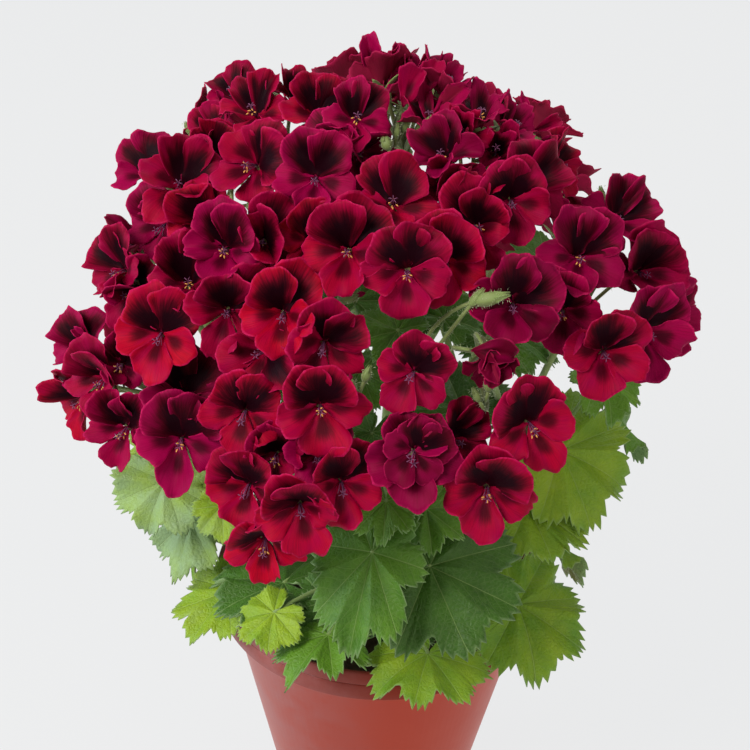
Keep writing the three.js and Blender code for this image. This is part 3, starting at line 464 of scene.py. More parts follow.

# x, y, distance to the front, facing right, up, towards, run of the midrib clockwise from
# upright in degrees, reach, and tint from dark green (0) through yellow-green (0.75) to pale
# grey-green (1). The pale end is painted highlight for the leaves in the key light; the darkest
# tints are partly the leaves' own dark green and partly painted shade for leaves under the blooms.
front_leaves = {
    "shoot_front": [
        (372, 552, 104, -0.15, 0.3, 0.95, 188, 33, 0.36),
        (430, 566, 90, 0.1, 0.35, 0.9, 112, 42, 0.16),
        (428, 653, 84, -0.05, 0.8, 0.6, 184, 28, 0.68),
        (328, 634, 80, -0.1, 0.85, 0.5, 195, 26, 0.45),
        (386, 500, 98, 0, 0.5, 0.85, 180, 17, 0.5),
        (426, 508, 80, 0.1, 0.5, 0.85, 172, 19, 0.42),
        (345, 520, 82, 0.2, 0.3, 0.9, 160, 17, 0.4),
        (326, 600, 60, 0, 0.75, 0.7, 190, 22, 0.15),
        (402, 616, 54, 0.05, 0.75, 0.7, 165, 19, 0.12),
        (274, 612, 74, -0.3, 0.7, 0.65, 215, 19, 0.75),
        (372, 432, 62, 0, 0.6, 0.8, 200, 18, 0.25),
    ],
    "shoot_right": [
        (518, 604, 60, 0.2, 0.4, 0.9, 118, 33, 0.64),
        (560, 450, 30, 0.25, 0.35, 0.9, 105, 36, 0.68),
        (528, 505, 44, 0.2, 0.45, 0.85, 115, 28, 0.7),
        (600, 372, 18, 0.45, 0.5, 0.75, 110, 24, 0.5),
        (462, 408, 44, -0.1, 0.6, 0.8, 340, 26, 0.12),
        (545, 262, -20, 0.3, 0.65, 0.7, 10, 22, 0.3),
        (505, 330, 30, 0.2, 0.6, 0.75, 200, 22, 0.3),
    ],
    "shoot_left": [
        (165, 481, 26, -0.3, 0.2, 0.9, 200, 27, 0.92),
        (176, 452, 10, -0.35, 0.3, 0.9, 250, 30, 0.88),
        (190, 518, 12, -0.5, 0.15, 0.85, 188, 27, 0.95),
        (230, 590, 34, -0.4, 0.75, 0.6, 262, 30, 0.74),
        (284, 582, 45, -0.1, 0.92, 0.4, 312, 35, 0.2),
        (215, 470, 12, -0.1, 0.5, 0.85, 20, 22, 0.9),
        (222, 505, 44, -0.2, 0.3, 0.9, 170, 16, 0.8),
        (285, 392, 58, -0.1, 0.5, 0.85, 20, 16, 0.4),
    ],
    "shoot_centre": [
        (355, 300, 36, -0.1, 0.3, 0.95, 0, 18, 0.25),
        (398, 330, 60, 0, 0.5, 0.85, 300, 18, 0.35),
        (444, 318, 44, 0.1, 0.3, 0.95, 10, 17, 0.3),
        (310, 275, 20, -0.2, 0.6, 0.8, 340, 18, 0.4),
        (360, 372, 54, -0.1, 0.6, 0.8, 120, 16, 0.35),
    ],
}
# Azimuths from +X, distance from the axis, height over the rim, lean of the face, reach.
back_leaf_rings = [
    ((12, 49, 85, 130, 169), 81, 13, 40, 30),
    ((30, 69, 107, 147), 96, 50, 40, 32),
    ((8, 50, 88, 127, 162), 106, 80, 34, 27),
    ((42, 92, 142), 54, 120, 55, 22),
]
# Where each stem stands in the soil, and where it ends as x, y and height over the rim.
shoots = {
    "shoot_front": ((2, -24), (4, -52, 46)),
    "shoot_right": ((23, -8), (58, -8, 62)),
    "shoot_back_right": ((15, 18), (40, 46, 60)),
    "shoot_back_left": ((-14, 19), (-38, 44, 60)),
    "shoot_left": ((-22, -8), (-56, -12, 62)),
    "shoot_centre": ((0, 0), (2, -4, 104)),
}

leaves = []
for shoot, rows in front_leaves.items():
    for x, y, front, right, up, towards, turn, reach, tint in rows:
        facing = from_view(right, up, towards)
        leaves.append((shoot, at_front(x, y, front), facing, in_face(facing, turn), reach, tint))
for azimuths, radius, height, lean_degrees, reach in back_leaf_rings:
    for azimuth in azimuths:
        number = len(leaves)
        around = math.radians(azimuth + 6.0 * (draw(number) - 0.5))
        lean = math.radians(lean_degrees + 14.0 * (draw(number + 30) - 0.5))
        out = Vector((math.cos(around), math.sin(around), 0.0))
        place = out * radius
        place.z = pot_height + height + 8.0 * (draw(number + 60) - 0.5)
        facing = out * math.cos(lean) + Vector((0.0, 0.0, math.sin(lean)))
        down = out * math.sin(lean) - Vector((0.0, 0.0, math.cos(lean)))
        shoot = "shoot_left"
        if azimuth < 166:
            shoot = "shoot_back_left"
        if azimuth < 92:
            shoot = "shoot_back_right"
        if azimuth < 20:
            shoot = "shoot_right"
        leaves.append((shoot, place, facing, down, reach, 0.25 + 0.5 * draw(number + 90)))

# The lobes stand 44 degrees apart on both sides of the midrib and grow shorter to the stalk.
lobe_angle = 44.0
lobe_peaks = (1.04, 1.0, 0.93, 0.76, 0.62)
blade_sweep = 174.0
teeth = 54
tooth_drift = 3.6
leaf_share = 0.95
long_leaves = {0: 1.28, 1: 1.02}
tooth_columns = 3
teeth_before_vein = (0.0, 0.45, 1.0)
teeth_past_vein = (0.0, 1.0, 0.45)
blade_rows = 8


def lay_leaf(mesh, number, place_of_leaf, facing, upper, reach, tint):
    """Lays one leaf: a pleated, cupped blade, lobed like a hand, with a toothed and waved edge."""
    across = facing.cross(upper).normalized()
    wave = math.tau * draw(number * 3 + 1)
    curl = 0.03 + 0.06 * draw(number * 3 + 2)
    droop = 0.08 + 0.18 * draw(number * 3 + 4)
    skew = 0.2 * (draw(number * 3 + 5) - 0.5)
    columns = teeth * tooth_columns
    reach *= leaf_share
    stretch = long_leaves.get(number, 0.94 + 0.14 * draw(number * 3 + 6))

    def place(a, b):
        column = round((a + 1.0) / 2.0 * columns)
        tooth = column // tooth_columns
        step = column / tooth_columns - tooth
        widths = [0.0 if t in (0, teeth) else tooth_drift * (draw(number * 23 + t) - 0.5)
                  for t in (tooth, tooth + 1)]
        degrees = -blade_sweep * a - widths[0] * (1.0 - step) - widths[1] * step
        angle = math.radians(degrees)
        lobe = degrees / lobe_angle
        low = math.floor(lobe)
        past = lobe - low
        tips = [lobe_peaks[min(abs(k), 4)] * (0.92 + 0.16 * draw(number * 19 + k + 5))
                for k in (low, low + 1)]
        off = 1.0 - abs(2.0 * past - 1.0)
        depth = 0.14 + 0.2 * draw(number * 7 + low + 9) ** 1.3
        edge = (tips[0] * (1.0 - past) + tips[1] * past) * (1.0 - depth * off ** 2.6)
        if abs(degrees) > 150.0:
            edge *= 1.0 - 0.72 * (min(abs(degrees) - 150.0, 24.0) / 24.0) ** 1.6
        form = teeth_past_vein if past > 0.5 else teeth_before_vein
        tall = 0.055 + 0.08 * draw(number * 41 + tooth)
        edge *= 0.95 + tall * form[column % tooth_columns]

        part = ((b + 1.0) / 2.0) ** 0.85
        share = edge * part
        fold = math.cos(math.tau * lobe) * (1.0 if abs(degrees) < 100.0 else 0.5)
        from_vein = min(past, 1.0 - past) * math.radians(lobe_angle) * share * reach
        vein = 0.4 * math.exp(-(from_vein / 0.9) ** 2) * (1.0 - 0.6 * part)
        lift = reach * (0.04 - 0.05 * fold) * part - reach * droop * share * share
        lift += reach * part ** 2 * curl * 1.4 * math.sin(angle * 3.0 + wave)
        lift += reach * part ** 3 * curl * math.sin(angle * 7.0 + 3.0 * wave)
        lift += reach * part ** 6 * 0.045 * math.sin(angle * 13.0 + 2.0 * wave)
        lift += reach * skew * share * share * math.sin(angle)
        lift += 0.7 * noise.noise(Vector((share * 9.0, angle * 3.0, number * 7.3))) * part - vein
        x = reach * share * math.sin(angle)
        y = reach * share * math.cos(angle)
        point = place_of_leaf + upper * (y * stretch) + across * (x / stretch) + facing * lift
        return point, (x / 10.0, y / 10.0, part), (tint, 0.0, draw(number + 11))

    made = lay_grid(mesh, columns, blade_rows, leaf_slot, place)
    bmesh.ops.remove_doubles(mesh, verts=made, dist=1e-6)


def grade(ramp, *colours):
    """Gives a ramp its colours, each with its place from 0 to 1."""
    stops = ramp.color_ramp.elements
    for place, colour in colours:
        stop = {0: stops[0], 1: stops[-1]}.get(place) or stops.new(place)
        stop.color = linear(colour)


# Leaf blade: soft, finely hairy and almost matt. The main veins run out like a hand from the
# stalk, side veins leave them at a slant about 5 mm apart, and the toothed edge is a little
# paler. The net of small veins between them is drawn about 2 mm wide, coarser than life.
leaf_material = new_material("leaf_blade_soft_matt", {
    "Roughness": 0.5, "IOR": 1.42, "Specular IOR Level": 0.35, "Sheen Weight": 0.03,
    "Sheen Roughness": 0.4, "Sheen Tint": linear("#e6f2dc")})
leaf_tree = leaf_material.node_tree
leaf_run = add_node(leaf_tree, "SeparateXYZ", {
    0: add_node(leaf_tree, "Attribute", {}, attribute_name="run").outputs["Vector"]})
leaf_tone = add_node(leaf_tree, "SeparateXYZ", {
    0: add_node(leaf_tree, "Attribute", {}, attribute_name="tone").outputs["Vector"]})
leaf_x = leaf_run.outputs["X"]
leaf_y = leaf_run.outputs["Y"]
leaf_part = leaf_run.outputs["Z"]
leaf_place = add_node(leaf_tree, "TexCoord", {}).outputs["Object"]
vein_angle = add_node(leaf_tree, "Math", {0: leaf_x, 1: leaf_y}, operation="ARCTAN2")
lobes_round = add_node(leaf_tree, "Math", {
    0: vein_angle, 1: math.radians(lobe_angle)}, operation="DIVIDE")
vein_number = add_node(leaf_tree, "Math", {0: lobes_round}, operation="ROUND")
vein_off = add_node(leaf_tree, "Math", {
    0: vein_number, 1: -math.radians(lobe_angle), 2: vein_angle}, operation="MULTIPLY_ADD")
leaf_flat = add_node(leaf_tree, "CombineXYZ", {"X": leaf_x, "Y": leaf_y})
leaf_radius = add_node(leaf_tree, "VectorMath", {0: leaf_flat}, operation="LENGTH")
off_sine = add_node(leaf_tree, "Math", {0: vein_off}, operation="SINE")
off_cosine = add_node(leaf_tree, "Math", {0: vein_off}, operation="COSINE")
vein_along = add_node(leaf_tree, "Math", {0: leaf_radius, 1: off_cosine}, operation="MULTIPLY")
vein_side = add_node(leaf_tree, "Math", {0: leaf_radius, 1: off_sine}, operation="MULTIPLY")
vein_aside = add_node(leaf_tree, "Math", {0: vein_side}, operation="ABSOLUTE")
main_vein = add_node(leaf_tree, "MapRange", {
    "Value": vein_aside, "From Min": 0.008, "From Max": 0.035, "To Min": 1.0, "To Max": 0.0},
    interpolation_type="SMOOTHSTEP")
vein_drift = add_node(leaf_tree, "TexNoise", {
    "Vector": leaf_place, "Scale": 120.0, "Detail": 1.0})
slant = add_node(leaf_tree, "Math", {
    0: vein_aside, 1: -1.25, 2: vein_along}, operation="MULTIPLY_ADD")
drifted = add_node(leaf_tree, "Math", {0: vein_drift, 1: 0.35, 2: slant}, operation="MULTIPLY_ADD")
stripe = add_node(leaf_tree, "Math", {0: drifted, 1: 0.25}, operation="PINGPONG")
side_vein = add_node(leaf_tree, "MapRange", {
    "Value": stripe, "From Max": 0.028, "To Min": 0.5, "To Max": 0.0},
    interpolation_type="SMOOTHSTEP")
net = add_node(leaf_tree, "TexVoronoi", {"Vector": leaf_place, "Scale": 520.0},
               feature="DISTANCE_TO_EDGE")
net_vein = add_node(leaf_tree, "MapRange", {
    "Value": net, "From Max": 0.14, "To Min": 0.2, "To Max": 0.0})
larger_veins = add_node(leaf_tree, "Math", {0: main_vein, 1: side_vein}, operation="MAXIMUM")
veins = add_node(leaf_tree, "Math", {0: larger_veins, 1: net_vein}, operation="MAXIMUM")
patch = add_node(leaf_tree, "TexNoise", {
    "Vector": leaf_place, "Scale": 60.0, "Detail": 4.0, "Roughness": 0.6})
patch_share = add_node(leaf_tree, "MapRange", {
    "Value": patch, "From Min": 0.25, "From Max": 0.75, "To Min": -0.13, "To Max": 0.13})
tint_and_light_share = add_node(leaf_tree, "Math", {
    0: leaf_tone.outputs["X"], 1: patch_share}, operation="ADD", use_clamp=True)
# Painted light: the pale end of this ramp stands for leaves lit by the key light, and its dark end
# partly for leaves in shade.
blade_ramp = add_node(leaf_tree, "ValToRGB", {"Fac": tint_and_light_share})
grade(blade_ramp, (0, "#28490f"), (1, "#86a272"), (0.3, "#406a1c"), (0.55, "#5d8a1e"),
      (0.78, "#87a31c"))
veined_share = add_node(leaf_tree, "Math", {0: veins, 1: 0.24}, operation="MULTIPLY")
pale_edge = add_node(leaf_tree, "MapRange", {
    "Value": leaf_part, "From Min": 0.95, "From Max": 1.0, "To Max": 0.25})
under_share = add_node(leaf_tree, "Math", {
    0: leaf_tone.outputs["Y"], 1: 0.75}, operation="MULTIPLY")
leaf_colour = blade_ramp
for share, colour in ((veined_share, "#a9c27c"), (pale_edge, "#9fb884"), (under_share, "#84a06a")):
    leaf_colour = add_node(leaf_tree, "Mix", {
        "Factor": share, "A": leaf_colour, "B": linear(colour)}, data_type="RGBA")
quilting = add_node(leaf_tree, "Math", {0: net, 1: 1.2}, operation="MULTIPLY")
leaf_height = add_node(leaf_tree, "Math", {0: quilting, 1: veins}, operation="SUBTRACT")
leaf_bump = add_node(leaf_tree, "Bump", {
    "Height": leaf_height, "Strength": 0.55, "Distance": 0.0005})
wire(leaf_tree.nodes["Principled BSDF"], {"Base Color": leaf_colour, "Normal": leaf_bump})

# Stalk skin: green and finely hairy, reddish brown where the tint is high.
stalk_material = new_material("hairy_green_stalk", {
    "Roughness": 0.6, "Sheen Weight": 0.3, "Sheen Tint": linear("#eef2e2")})
stalk_tree = stalk_material.node_tree
stalk_tone = add_node(stalk_tree, "SeparateXYZ", {
    0: add_node(stalk_tree, "Attribute", {}, attribute_name="tone").outputs["Vector"]})
stalk_place = add_node(stalk_tree, "TexCoord", {}).outputs["Object"]
stalk_noise = add_node(stalk_tree, "TexNoise", {
    "Vector": stalk_place, "Scale": 160.0, "Detail": 3.0})
stalk_patch = add_node(stalk_tree, "MapRange", {
    "Value": stalk_noise, "To Min": -0.15, "To Max": 0.15})
stalk_share = add_node(stalk_tree, "Math", {
    0: stalk_tone.outputs["X"], 1: stalk_patch}, operation="ADD", use_clamp=True)
stalk_ramp = add_node(stalk_tree, "ValToRGB", {"Fac": stalk_share})
grade(stalk_ramp, (0, "#7a9650"), (1, "#6a2028"), (0.5, "#6d6a3a"))
wire(stalk_tree.nodes["Principled BSDF"], {"Base Color": stalk_ramp})

# Hairs: soft, straight and clear, so they read as a pale fuzz along stalks and buds. They are
# drawn a little thicker than life, as the real ones are too fine to show.
hair_material = new_material("clear_plant_hair", {
    "Base Color": linear("#c3cfa6"), "Roughness": 0.5, "IOR": 1.45})
hair_radius = 0.08


def lay_hairs(mesh, points, radius, spacing, length, material, seed):
    """Sets hairs out from a stalk along its points, one for each step of the spacing."""
    brush = open_form()
    run = 0.0
    for i in range(1, len(points)):
        step = points[i] - points[i - 1]
        along = step.normalized()
        side = along.orthogonal().normalized()
        while run < step.length:
            seed += 1
            angle = math.tau * draw(seed * 1.7)
            out = Matrix.Rotation(angle, 3, along) @ side + along * (draw(seed * 2.3) - 0.4)
            out.normalize()
            long = length * (0.6 + 0.6 * draw(seed * 3.1))
            middle = points[i - 1] + along * run + out * (radius * 0.9 + long / 2.0)
            turned = out.to_track_quat("Z", "Y").to_matrix().to_4x4()
            bmesh.ops.create_cone(
                brush, cap_ends=False, segments=3, radius1=hair_radius / 1000.0,
                radius2=hair_radius / 5000.0, depth=long / 1000.0,
                matrix=Matrix.Translation(middle / 1000.0) @ turned)
            run += spacing
        run -= step.length
    for face in brush.faces:
        face.material_index = material
    tuft = bpy.data.meshes.new("tuft")
    brush.to_mesh(tuft)
    brush.free()
    mesh.from_mesh(tuft)
    bpy.data.meshes.remove(tuft)


def stem_points(name):
    """Points up a stem, from the bottom of its hole in the soil to its top."""
    (foot_x, foot_y), (top_x, top_y, top_z) = shoots[name]
    bottom = Vector((foot_x, foot_y, soil_top - stem_hole_depth + 0.3))
    collar = Vector((foot_x, foot_y, soil_top + stem_collar))
    end = Vector((top_x, top_y, pot_height + top_z))
    return [bottom] + bow(collar, Vector((0.0, 0.0, 1.0)), end, 12)


def on_stem(points, share):
    """The point of a stem at a share of its height over the soil."""
    place = share * (len(points) - 2)
    low = min(int(place), len(points) - 3)
    return points[low + 1].lerp(points[low + 2], place - low)


# Heads: twenty-four umbels, each a bunch of one to nine five-petalled blooms on short
# pedicels that meet at the end of a green stalk. The petals are velvety, dark red, with a
# nearly black blotch and a thin magenta edge; the two upper ones are broader and darker.
# Rows: x, y, facing right, up, towards, turn of the upper petals, depth, reach.
front_heads = {
    "upper_left": [
        (151, 174, -0.4, 0.3, 0.9, -15, 2, 19),
        (181, 188, 0.1, 0.35, 0.9, 30, -3, 21),
        (218, 138, -0.5, 0.6, 0.7, -20, 8, 15),
        (166, 224, -0.4, -0.1, 0.9, 0, 13, 18),
        (214, 158, 0.1, 0.3, 0.9, 10, 14, 18),
    ],
    "top_left": [
        (257, 117, -0.2, 0.65, 0.75, 0, 0, 18),
        (294, 101, 0.25, 0.7, 0.7, 10, 8, 15),
        (258, 166, -0.3, 0.1, 0.95, 60, 2, 20),
        (238, 99, -0.35, 0.6, 0.7, -15, 8, 16),
        (318, 117, 0.2, 0.4, 0.9, 10, 9, 18),
    ],
    "top": [
        (316, 178, 0, 0.05, 1, 5, 2, 21),
        (357, 121, 0.05, 0.3, 0.9, 5, 0, 20),
        (357, 152, 0.15, 0.1, 1, 0, 18, 20),
        (343, 142, -0.4, -0.1, 0.9, -20, 13, 16),
    ],
    "peak": [
        (381, 86, -0.35, 0.85, -0.3, 0, 0, 18),
        (410, 103, 0.15, 0.95, 0.2, 0, 13, 20),
        (440, 93, 0.35, 0.8, 0.4, 10, 0, 19),
    ],
    "upper_right": [
        (478, 126, 0.1, 0.85, 0.5, 0, 2, 17),
        (505, 134, 0.45, 0.7, 0.55, 0, 5, 16),
        (447, 160, -0.4, 0.45, 0.8, -20, 3, 19),
        (526, 188, 0.4, 0.2, 0.9, 20, 1, 19),
        (510, 200, 0.05, -0.15, 1, -5, -4, 19),
        (430, 128, -0.1, 0.8, 0.55, -10, 8, 17),
        (461, 141, 0, 0.6, 0.8, 10, 9, 17),
        (495, 155, 0.1, 0.4, 0.9, 30, 11, 15),
        (549, 168, 0.75, 0.3, 0.55, 10, 8, 17),
    ],
    "middle": [
        (393, 207, 0, 0.4, 0.9, 0, 7, 20),
        (349, 250, -0.1, 0, 1, 5, 0, 21),
        (407, 270, 0, -0.1, 1, 0, -3, 21),
        (446, 260, -0.1, -0.05, 1, 5, 3, 20),
        (474, 226, 0.15, 0.1, 1, -10, 3, 21),
        (453, 184, -0.1, 0.2, 0.95, -15, 10, 18),
    ],
    "right": [
        (614, 222, 0.3, 0.3, 0.9, 30, 2, 21),
        (578, 257, 0.1, 0, 1, 10, -2, 21),
        (602, 351, 0.15, -0.1, 1, 12, -2, 21),
        (642, 330, 0.4, -0.15, 0.9, 0, 3, 23),
        (662, 315, 0.65, 0, 0.75, 0, 5, 19),
        (637, 272, 0.4, 0.15, 0.9, 0, 4, 23),
        (562, 310, -0.2, -0.15, 1, -10, 7, 20),
    ],
    "right_middle": [
        (513, 304, 0.05, -0.1, 1, 20, 0, 21),
        (488, 356, 0.2, -0.8, 0.5, 0, 5, 14),
    ],
    "far_left": [
        (126, 270, -0.6, 0.05, 0.8, -20, 1, 18),
        (138, 250, -0.2, 0.75, 0.6, 0, 19, 17),
        (135, 289, -0.35, -0.1, 0.95, 20, 12, 19),
        (190, 285, 0, 0.4, 0.9, 0, 8, 20),
        (162, 333, -0.1, -0.1, 1, 10, -4, 21),
    ],
    "left": [
        (227, 249, -0.05, 0.15, 1, 10, -2, 20),
        (264, 241, 0.2, 0.05, 1, 45, 8, 20),
        (229, 310, 0, -0.05, 1, 15, 4, 21),
        (207, 222, -0.35, 0.3, 0.9, -20, 13, 19),
        (309, 241, 0.25, 0, 0.95, 20, 12, 18),
    ],
    "centre_left": [
        (284, 312, -0.05, -0.1, 1, 0, -2, 21),
        (267, 350, -0.15, -0.3, 0.9, 90, 7, 20),
        (324, 341, 0.1, -0.3, 0.95, 20, 3, 20),
    ],
    "left_edge": [
        (107, 378, -0.4, 0, 0.9, 0, 2, 20),
        (128, 427, -0.3, -0.2, 0.95, 10, 0, 20),
        (88, 396, -0.7, -0.25, 0.7, 0, 8, 19),
        (88, 352, -0.7, 0.25, 0.7, 0, 5, 19),
        (123, 364, 0.05, 0.05, 1, 30, 12, 14),
    ],
    "lower_left": [
        (182, 438, 0, -0.1, 1, 5, -2, 22),
        (186, 396, 0.05, 0.2, 1, 0, 12, 20),
    ],
    "lower_middle": [
        (246, 410, -0.1, -0.25, 0.95, 10, 3, 20),
        (320, 405, 0.05, -0.15, 1, -10, 0, 21),
        (277, 453, -0.1, -0.1, 1, 0, 12, 17),
        (318, 456, 0.1, 0, 1, 20, 12, 17),
    ],
    "front_low": [
        (250, 484, -0.3, -0.2, 0.9, 0, 4, 19),
        (300, 503, 0.05, -0.3, 0.95, -15, -3, 22),
        (266, 537, -0.1, -0.6, 0.8, 0, 2, 19),
        (341, 481, 0.15, -0.2, 0.95, 0, 3, 19),
    ],
    "centre": [
        (414, 372, -0.1, -0.15, 1, 30, 0, 20),
    ],
    "front_right": [
        (414, 453, 0, -0.2, 1, 0, 1, 22),
        (414, 450, 0, -0.2, 1, 36, -3.5, 16),
        (487, 486, 0.05, -0.25, 0.95, 10, 0, 22),
        (528, 422, 0.15, -0.15, 1, -30, -1, 21),
        (452, 438, 0.5, 0.1, 0.85, 20, 9, 16),
    ],
}
# Azimuth from +X, height angle, number of blooms, depth behind the dome.
back_heads = {
    "back_low_left": (148, 2, 4, 3),
    "back_high_left": (138, 36, 4, 5),
    "back_middle": (97, 40, 5, 4),
    "back_low": (100, 6, 5, 3),
    "back_top": (90, 71, 5, 12),
    "back_high_right": (54, 34, 4, 5),
    "back_low_right": (56, 2, 4, 3),
}
head_carriers = {
    "shoot_front": ["centre_left", "lower_middle", "front_low", "centre", "front_right"],
    "shoot_right": ["right", "right_middle"],
    "shoot_back_right": ["back_middle", "back_low", "back_high_right", "back_low_right"],
    "shoot_back_left": ["back_low_left", "back_high_left", "back_top"],
    "shoot_left": ["upper_left", "far_left", "left", "left_edge", "lower_left"],
    "shoot_centre": ["top_left", "top", "peak", "upper_right", "middle"],
}
dome_radius = 131.0
dome_height = 138.0
dome_centre = Vector((0.0, 0.0, pot_height + 103.0))
umbel_core = Vector((0.0, 0.0, pot_height + 63.0))
umbel_depth = 25.0


def on_dome(x, y, depth):
    """Where a line of sight meets the dome of blooms, or passes nearest to it."""
    ray = sight(x, y)
    squash = Vector((1.0 / dome_radius, 1.0 / dome_radius, 1.0 / dome_height))
    start = (viewpoint - dome_centre) * squash
    along = ray * squash
    a = along.dot(along)
    b = start.dot(along)
    c = start.dot(start) - 1.0
    root = math.sqrt(max(b * b - a * c, 0.0))
    return viewpoint + ray * ((-b - root) / a + depth)


# How red a bloom is, from bright (0) over crimson (0.5) and magenta (0.75) to wine (1); the
# darkest tints are partly painted shade for blooms in shadow, such as the one at 186, 396. Those
# at these places stand out; the rest are drawn.
marked_tints_and_shade = {
    (162, 333): 0.15, (284, 312): 0.1, (246, 410): 0.3, (349, 250): 0.35, (407, 270): 0.5,
    (182, 438): 0.78, (128, 427): 0.62, (186, 396): 0.95, (107, 378): 0.5, (324, 341): 0.45,
    (414, 453): 0.85, (414, 450): 0.9, (414, 372): 0.5, (487, 486): 0.4, (528, 422): 0.35,
    (602, 351): 0.4, (642, 330): 0.7, (662, 315): 0.65, (578, 257): 0.85, (513, 304): 0.9,
    (562, 310): 0.6, (637, 272): 0.6, (478, 126): 0.85, (505, 134): 0.8, (447, 160): 0.9,
    (526, 188): 0.55, (510, 200): 0.5, (316, 178): 0.72, (381, 86): 0.78, (410, 103): 0.75,
    (440, 93): 0.78, (151, 174): 0.7, (181, 188): 0.45, (257, 117): 0.4, (357, 152): 0.85,
    (250, 484): 0.3, (300, 503): 0.3, (266, 537): 0.15, (320, 405): 0.35, (341, 481): 0.35,
    (267, 350): 0.4, (229, 310): 0.45, (264, 241): 0.4, (393, 207): 0.3, (446, 260): 0.25,
}
# Blooms that fade fold their petals and narrow them; some others are small for their age.
fading_heads = ("peak", "back_top")
fading_places = {(478, 126), (505, 134), (461, 141), (430, 128), (495, 155), (549, 168), (488, 356)}
small_places = {(414, 372): 0.86, (357, 121): 0.8, (316, 178): 0.9}
blooms = []
for head, rows in front_heads.items():
    for x, y, right, up, towards, turn, depth, reach in rows:
        number = len(blooms)
        facing = from_view(right, up, towards)
        tint = marked_tints_and_shade.get((x, y), 0.2 + 0.6 * draw(number * 11 + 4))
        fading = head in fading_heads or (x, y) in fading_places
        closing = 0.5 if fading else 0.5 * draw(number * 31) ** 6
        reach *= small_places.get((x, y), 1.0)
        place = on_dome(x, y, depth)
        blooms.append((head, place, facing, in_face(facing, turn), reach, tint, closing))
spacing = math.degrees(21.0 / dome_radius)
for head, (azimuth, rise, count, depth) in back_heads.items():
    for i in range(count):
        number = len(blooms)
        angle = i / count * math.tau + draw(number) * 0.5 + 0.6
        stretch = 1.05 + 0.3 * draw(number + 40)
        around = math.radians(azimuth + spacing * stretch * math.cos(angle))
        above = math.radians(rise + spacing * stretch * math.sin(angle))
        out = Vector((math.cos(around) * math.cos(above), math.sin(around) * math.cos(above),
                      math.sin(above)))
        place = out * Vector((dome_radius, dome_radius, dome_height))
        place += out * (-depth - 6.0 * draw(number + 80)) + dome_centre
        facing = out + Vector((0.5 * (draw(number + 120) - 0.5), 0.0, 0.3 * draw(number + 160)))
        facing.normalize()
        upper = (Vector((0.0, 0.0, 1.0)) - facing * facing.z).normalized()
        closing = 0.5 if head in fading_heads else 0.5 * draw(number * 31) ** 6
        reach = 15.0 if head in fading_heads else 22.0
        tint = 0.2 + 0.6 * draw(number * 11 + 4)
        blooms.append((head, place, facing, upper, reach, tint, closing))

hubs = {}
for heads in head_carriers.values():
    for head in heads:
        own = [bloom[1] for bloom in blooms if bloom[0] == head]
        middle = sum(own, Vector()) / len(own)
        out = (middle - umbel_core).normalized()
        hubs[head] = (middle - out * umbel_depth, out)

for shoot, heads in head_carriers.items():
    shape = open_form()
    for number, (owner, place, facing, upper, reach, tint) in enumerate(leaves):
        if owner == shoot:
            lay_leaf(shape, number, place, facing, upper, reach, tint)
    thicken(shape, leaf_thickness)
    points = stem_points(shoot)
    radii = [stem_radius + (stem_tip_radius - stem_radius) * max(i - 1, 0) / (len(points) - 2)
             for i in range(len(points))]
    lay_stalk(shape, points, radii, 15, stalk_slot, 0.1, 0.05)
    lay_hairs(shape, points[2:], stem_tip_radius, 0.9, 1.2, down_slot, len(shoot))
    for number, (owner, place, facing, upper, reach, tint) in enumerate(leaves):
        if owner != shoot:
            continue
        share = (place.z - petiole_rise - points[1].z) / (points[-1].z - points[1].z)
        start = on_stem(points, min(max(share, lowest_node), highest_node))
        under = place - facing * 0.3
        leaving = (under - start) * Vector((1.0, 1.0, 0.0))
        leaving = leaving.normalized() * 0.7 + Vector((0.0, 0.0, 0.7))
        path = bow(start, leaving, under, 8)
        radii = [petiole_radius * (1.15 - 0.35 * i / 8) for i in range(9)]
        lay_stalk(shape, path, radii, 8, stalk_slot, 0.05)
        lay_hairs(shape, path[2:], petiole_radius * 0.85, 1.0, 1.1, down_slot, number * 9.0)
    for head in heads:
        centre, out = hubs[head]
        start = on_stem(points, highest_node)
        rise = (centre - start).normalized()
        leaving = (rise * 0.6 + Vector((0.0, 0.0, 0.5))).normalized()
        path = bow(start, leaving, centre - out, 10)
        lay_stalk(shape, path, [peduncle_radius] * 11, 10, stalk_slot, 0.15)
        lay_hairs(shape, path[3:], peduncle_radius, 0.55, 1.4, down_slot, centre.x)
    add_piece("leafy_" + shoot, shape, [leaf_material, stalk_material, hair_material],
              "foliage", shoot)

throat_radius = 2.2
pedicel_radius = 0.8
petal_thickness = 0.3
# The places of an umbel's materials, in which the stalk comes second again.
petal_slot, filament_slot, anther_slot, hair_slot = 0, 2, 3, 4
cup_depth = 3.0
neighbourhood = 52.0
petal_overlap = 4.6
half_sector = math.pi / 5.0
petal_turns = (29.0, 103.0, 180.0, 257.0, 331.0)
petal_shares = (1.0, 0.86, 0.95, 0.86, 1.0)
petal_outline = ((0.66, -0.44), (1.0, -0.3), (1.0, 0.3), (0.66, 0.44))
raise_step = 0.16
shortest_share = 0.3


def face_frame(facing, upper, angle):
    """The two directions in a bloom's face at an angle from its top, outward and across."""
    across = facing.cross(upper).normalized()
    return (upper * math.cos(angle) + across * math.sin(angle),
            across * math.cos(angle) - upper * math.sin(angle))


def petal_point(place, facing, directions, pitch, length, share, width):
    """A point of a petal: share of its length from the throat, and distance across in mm."""
    outward, sideways = directions
    root = throat_radius * math.cos(half_sector)
    flat = share * length - root
    lift = length * (0.42 * share - 0.3 * share * share) + 0.5 * width * width / length
    far = root + flat * math.cos(pitch) - lift * math.sin(pitch)
    rise = flat * math.sin(pitch) + lift * math.cos(pitch)
    return place + outward * far + facing * rise + sideways * width


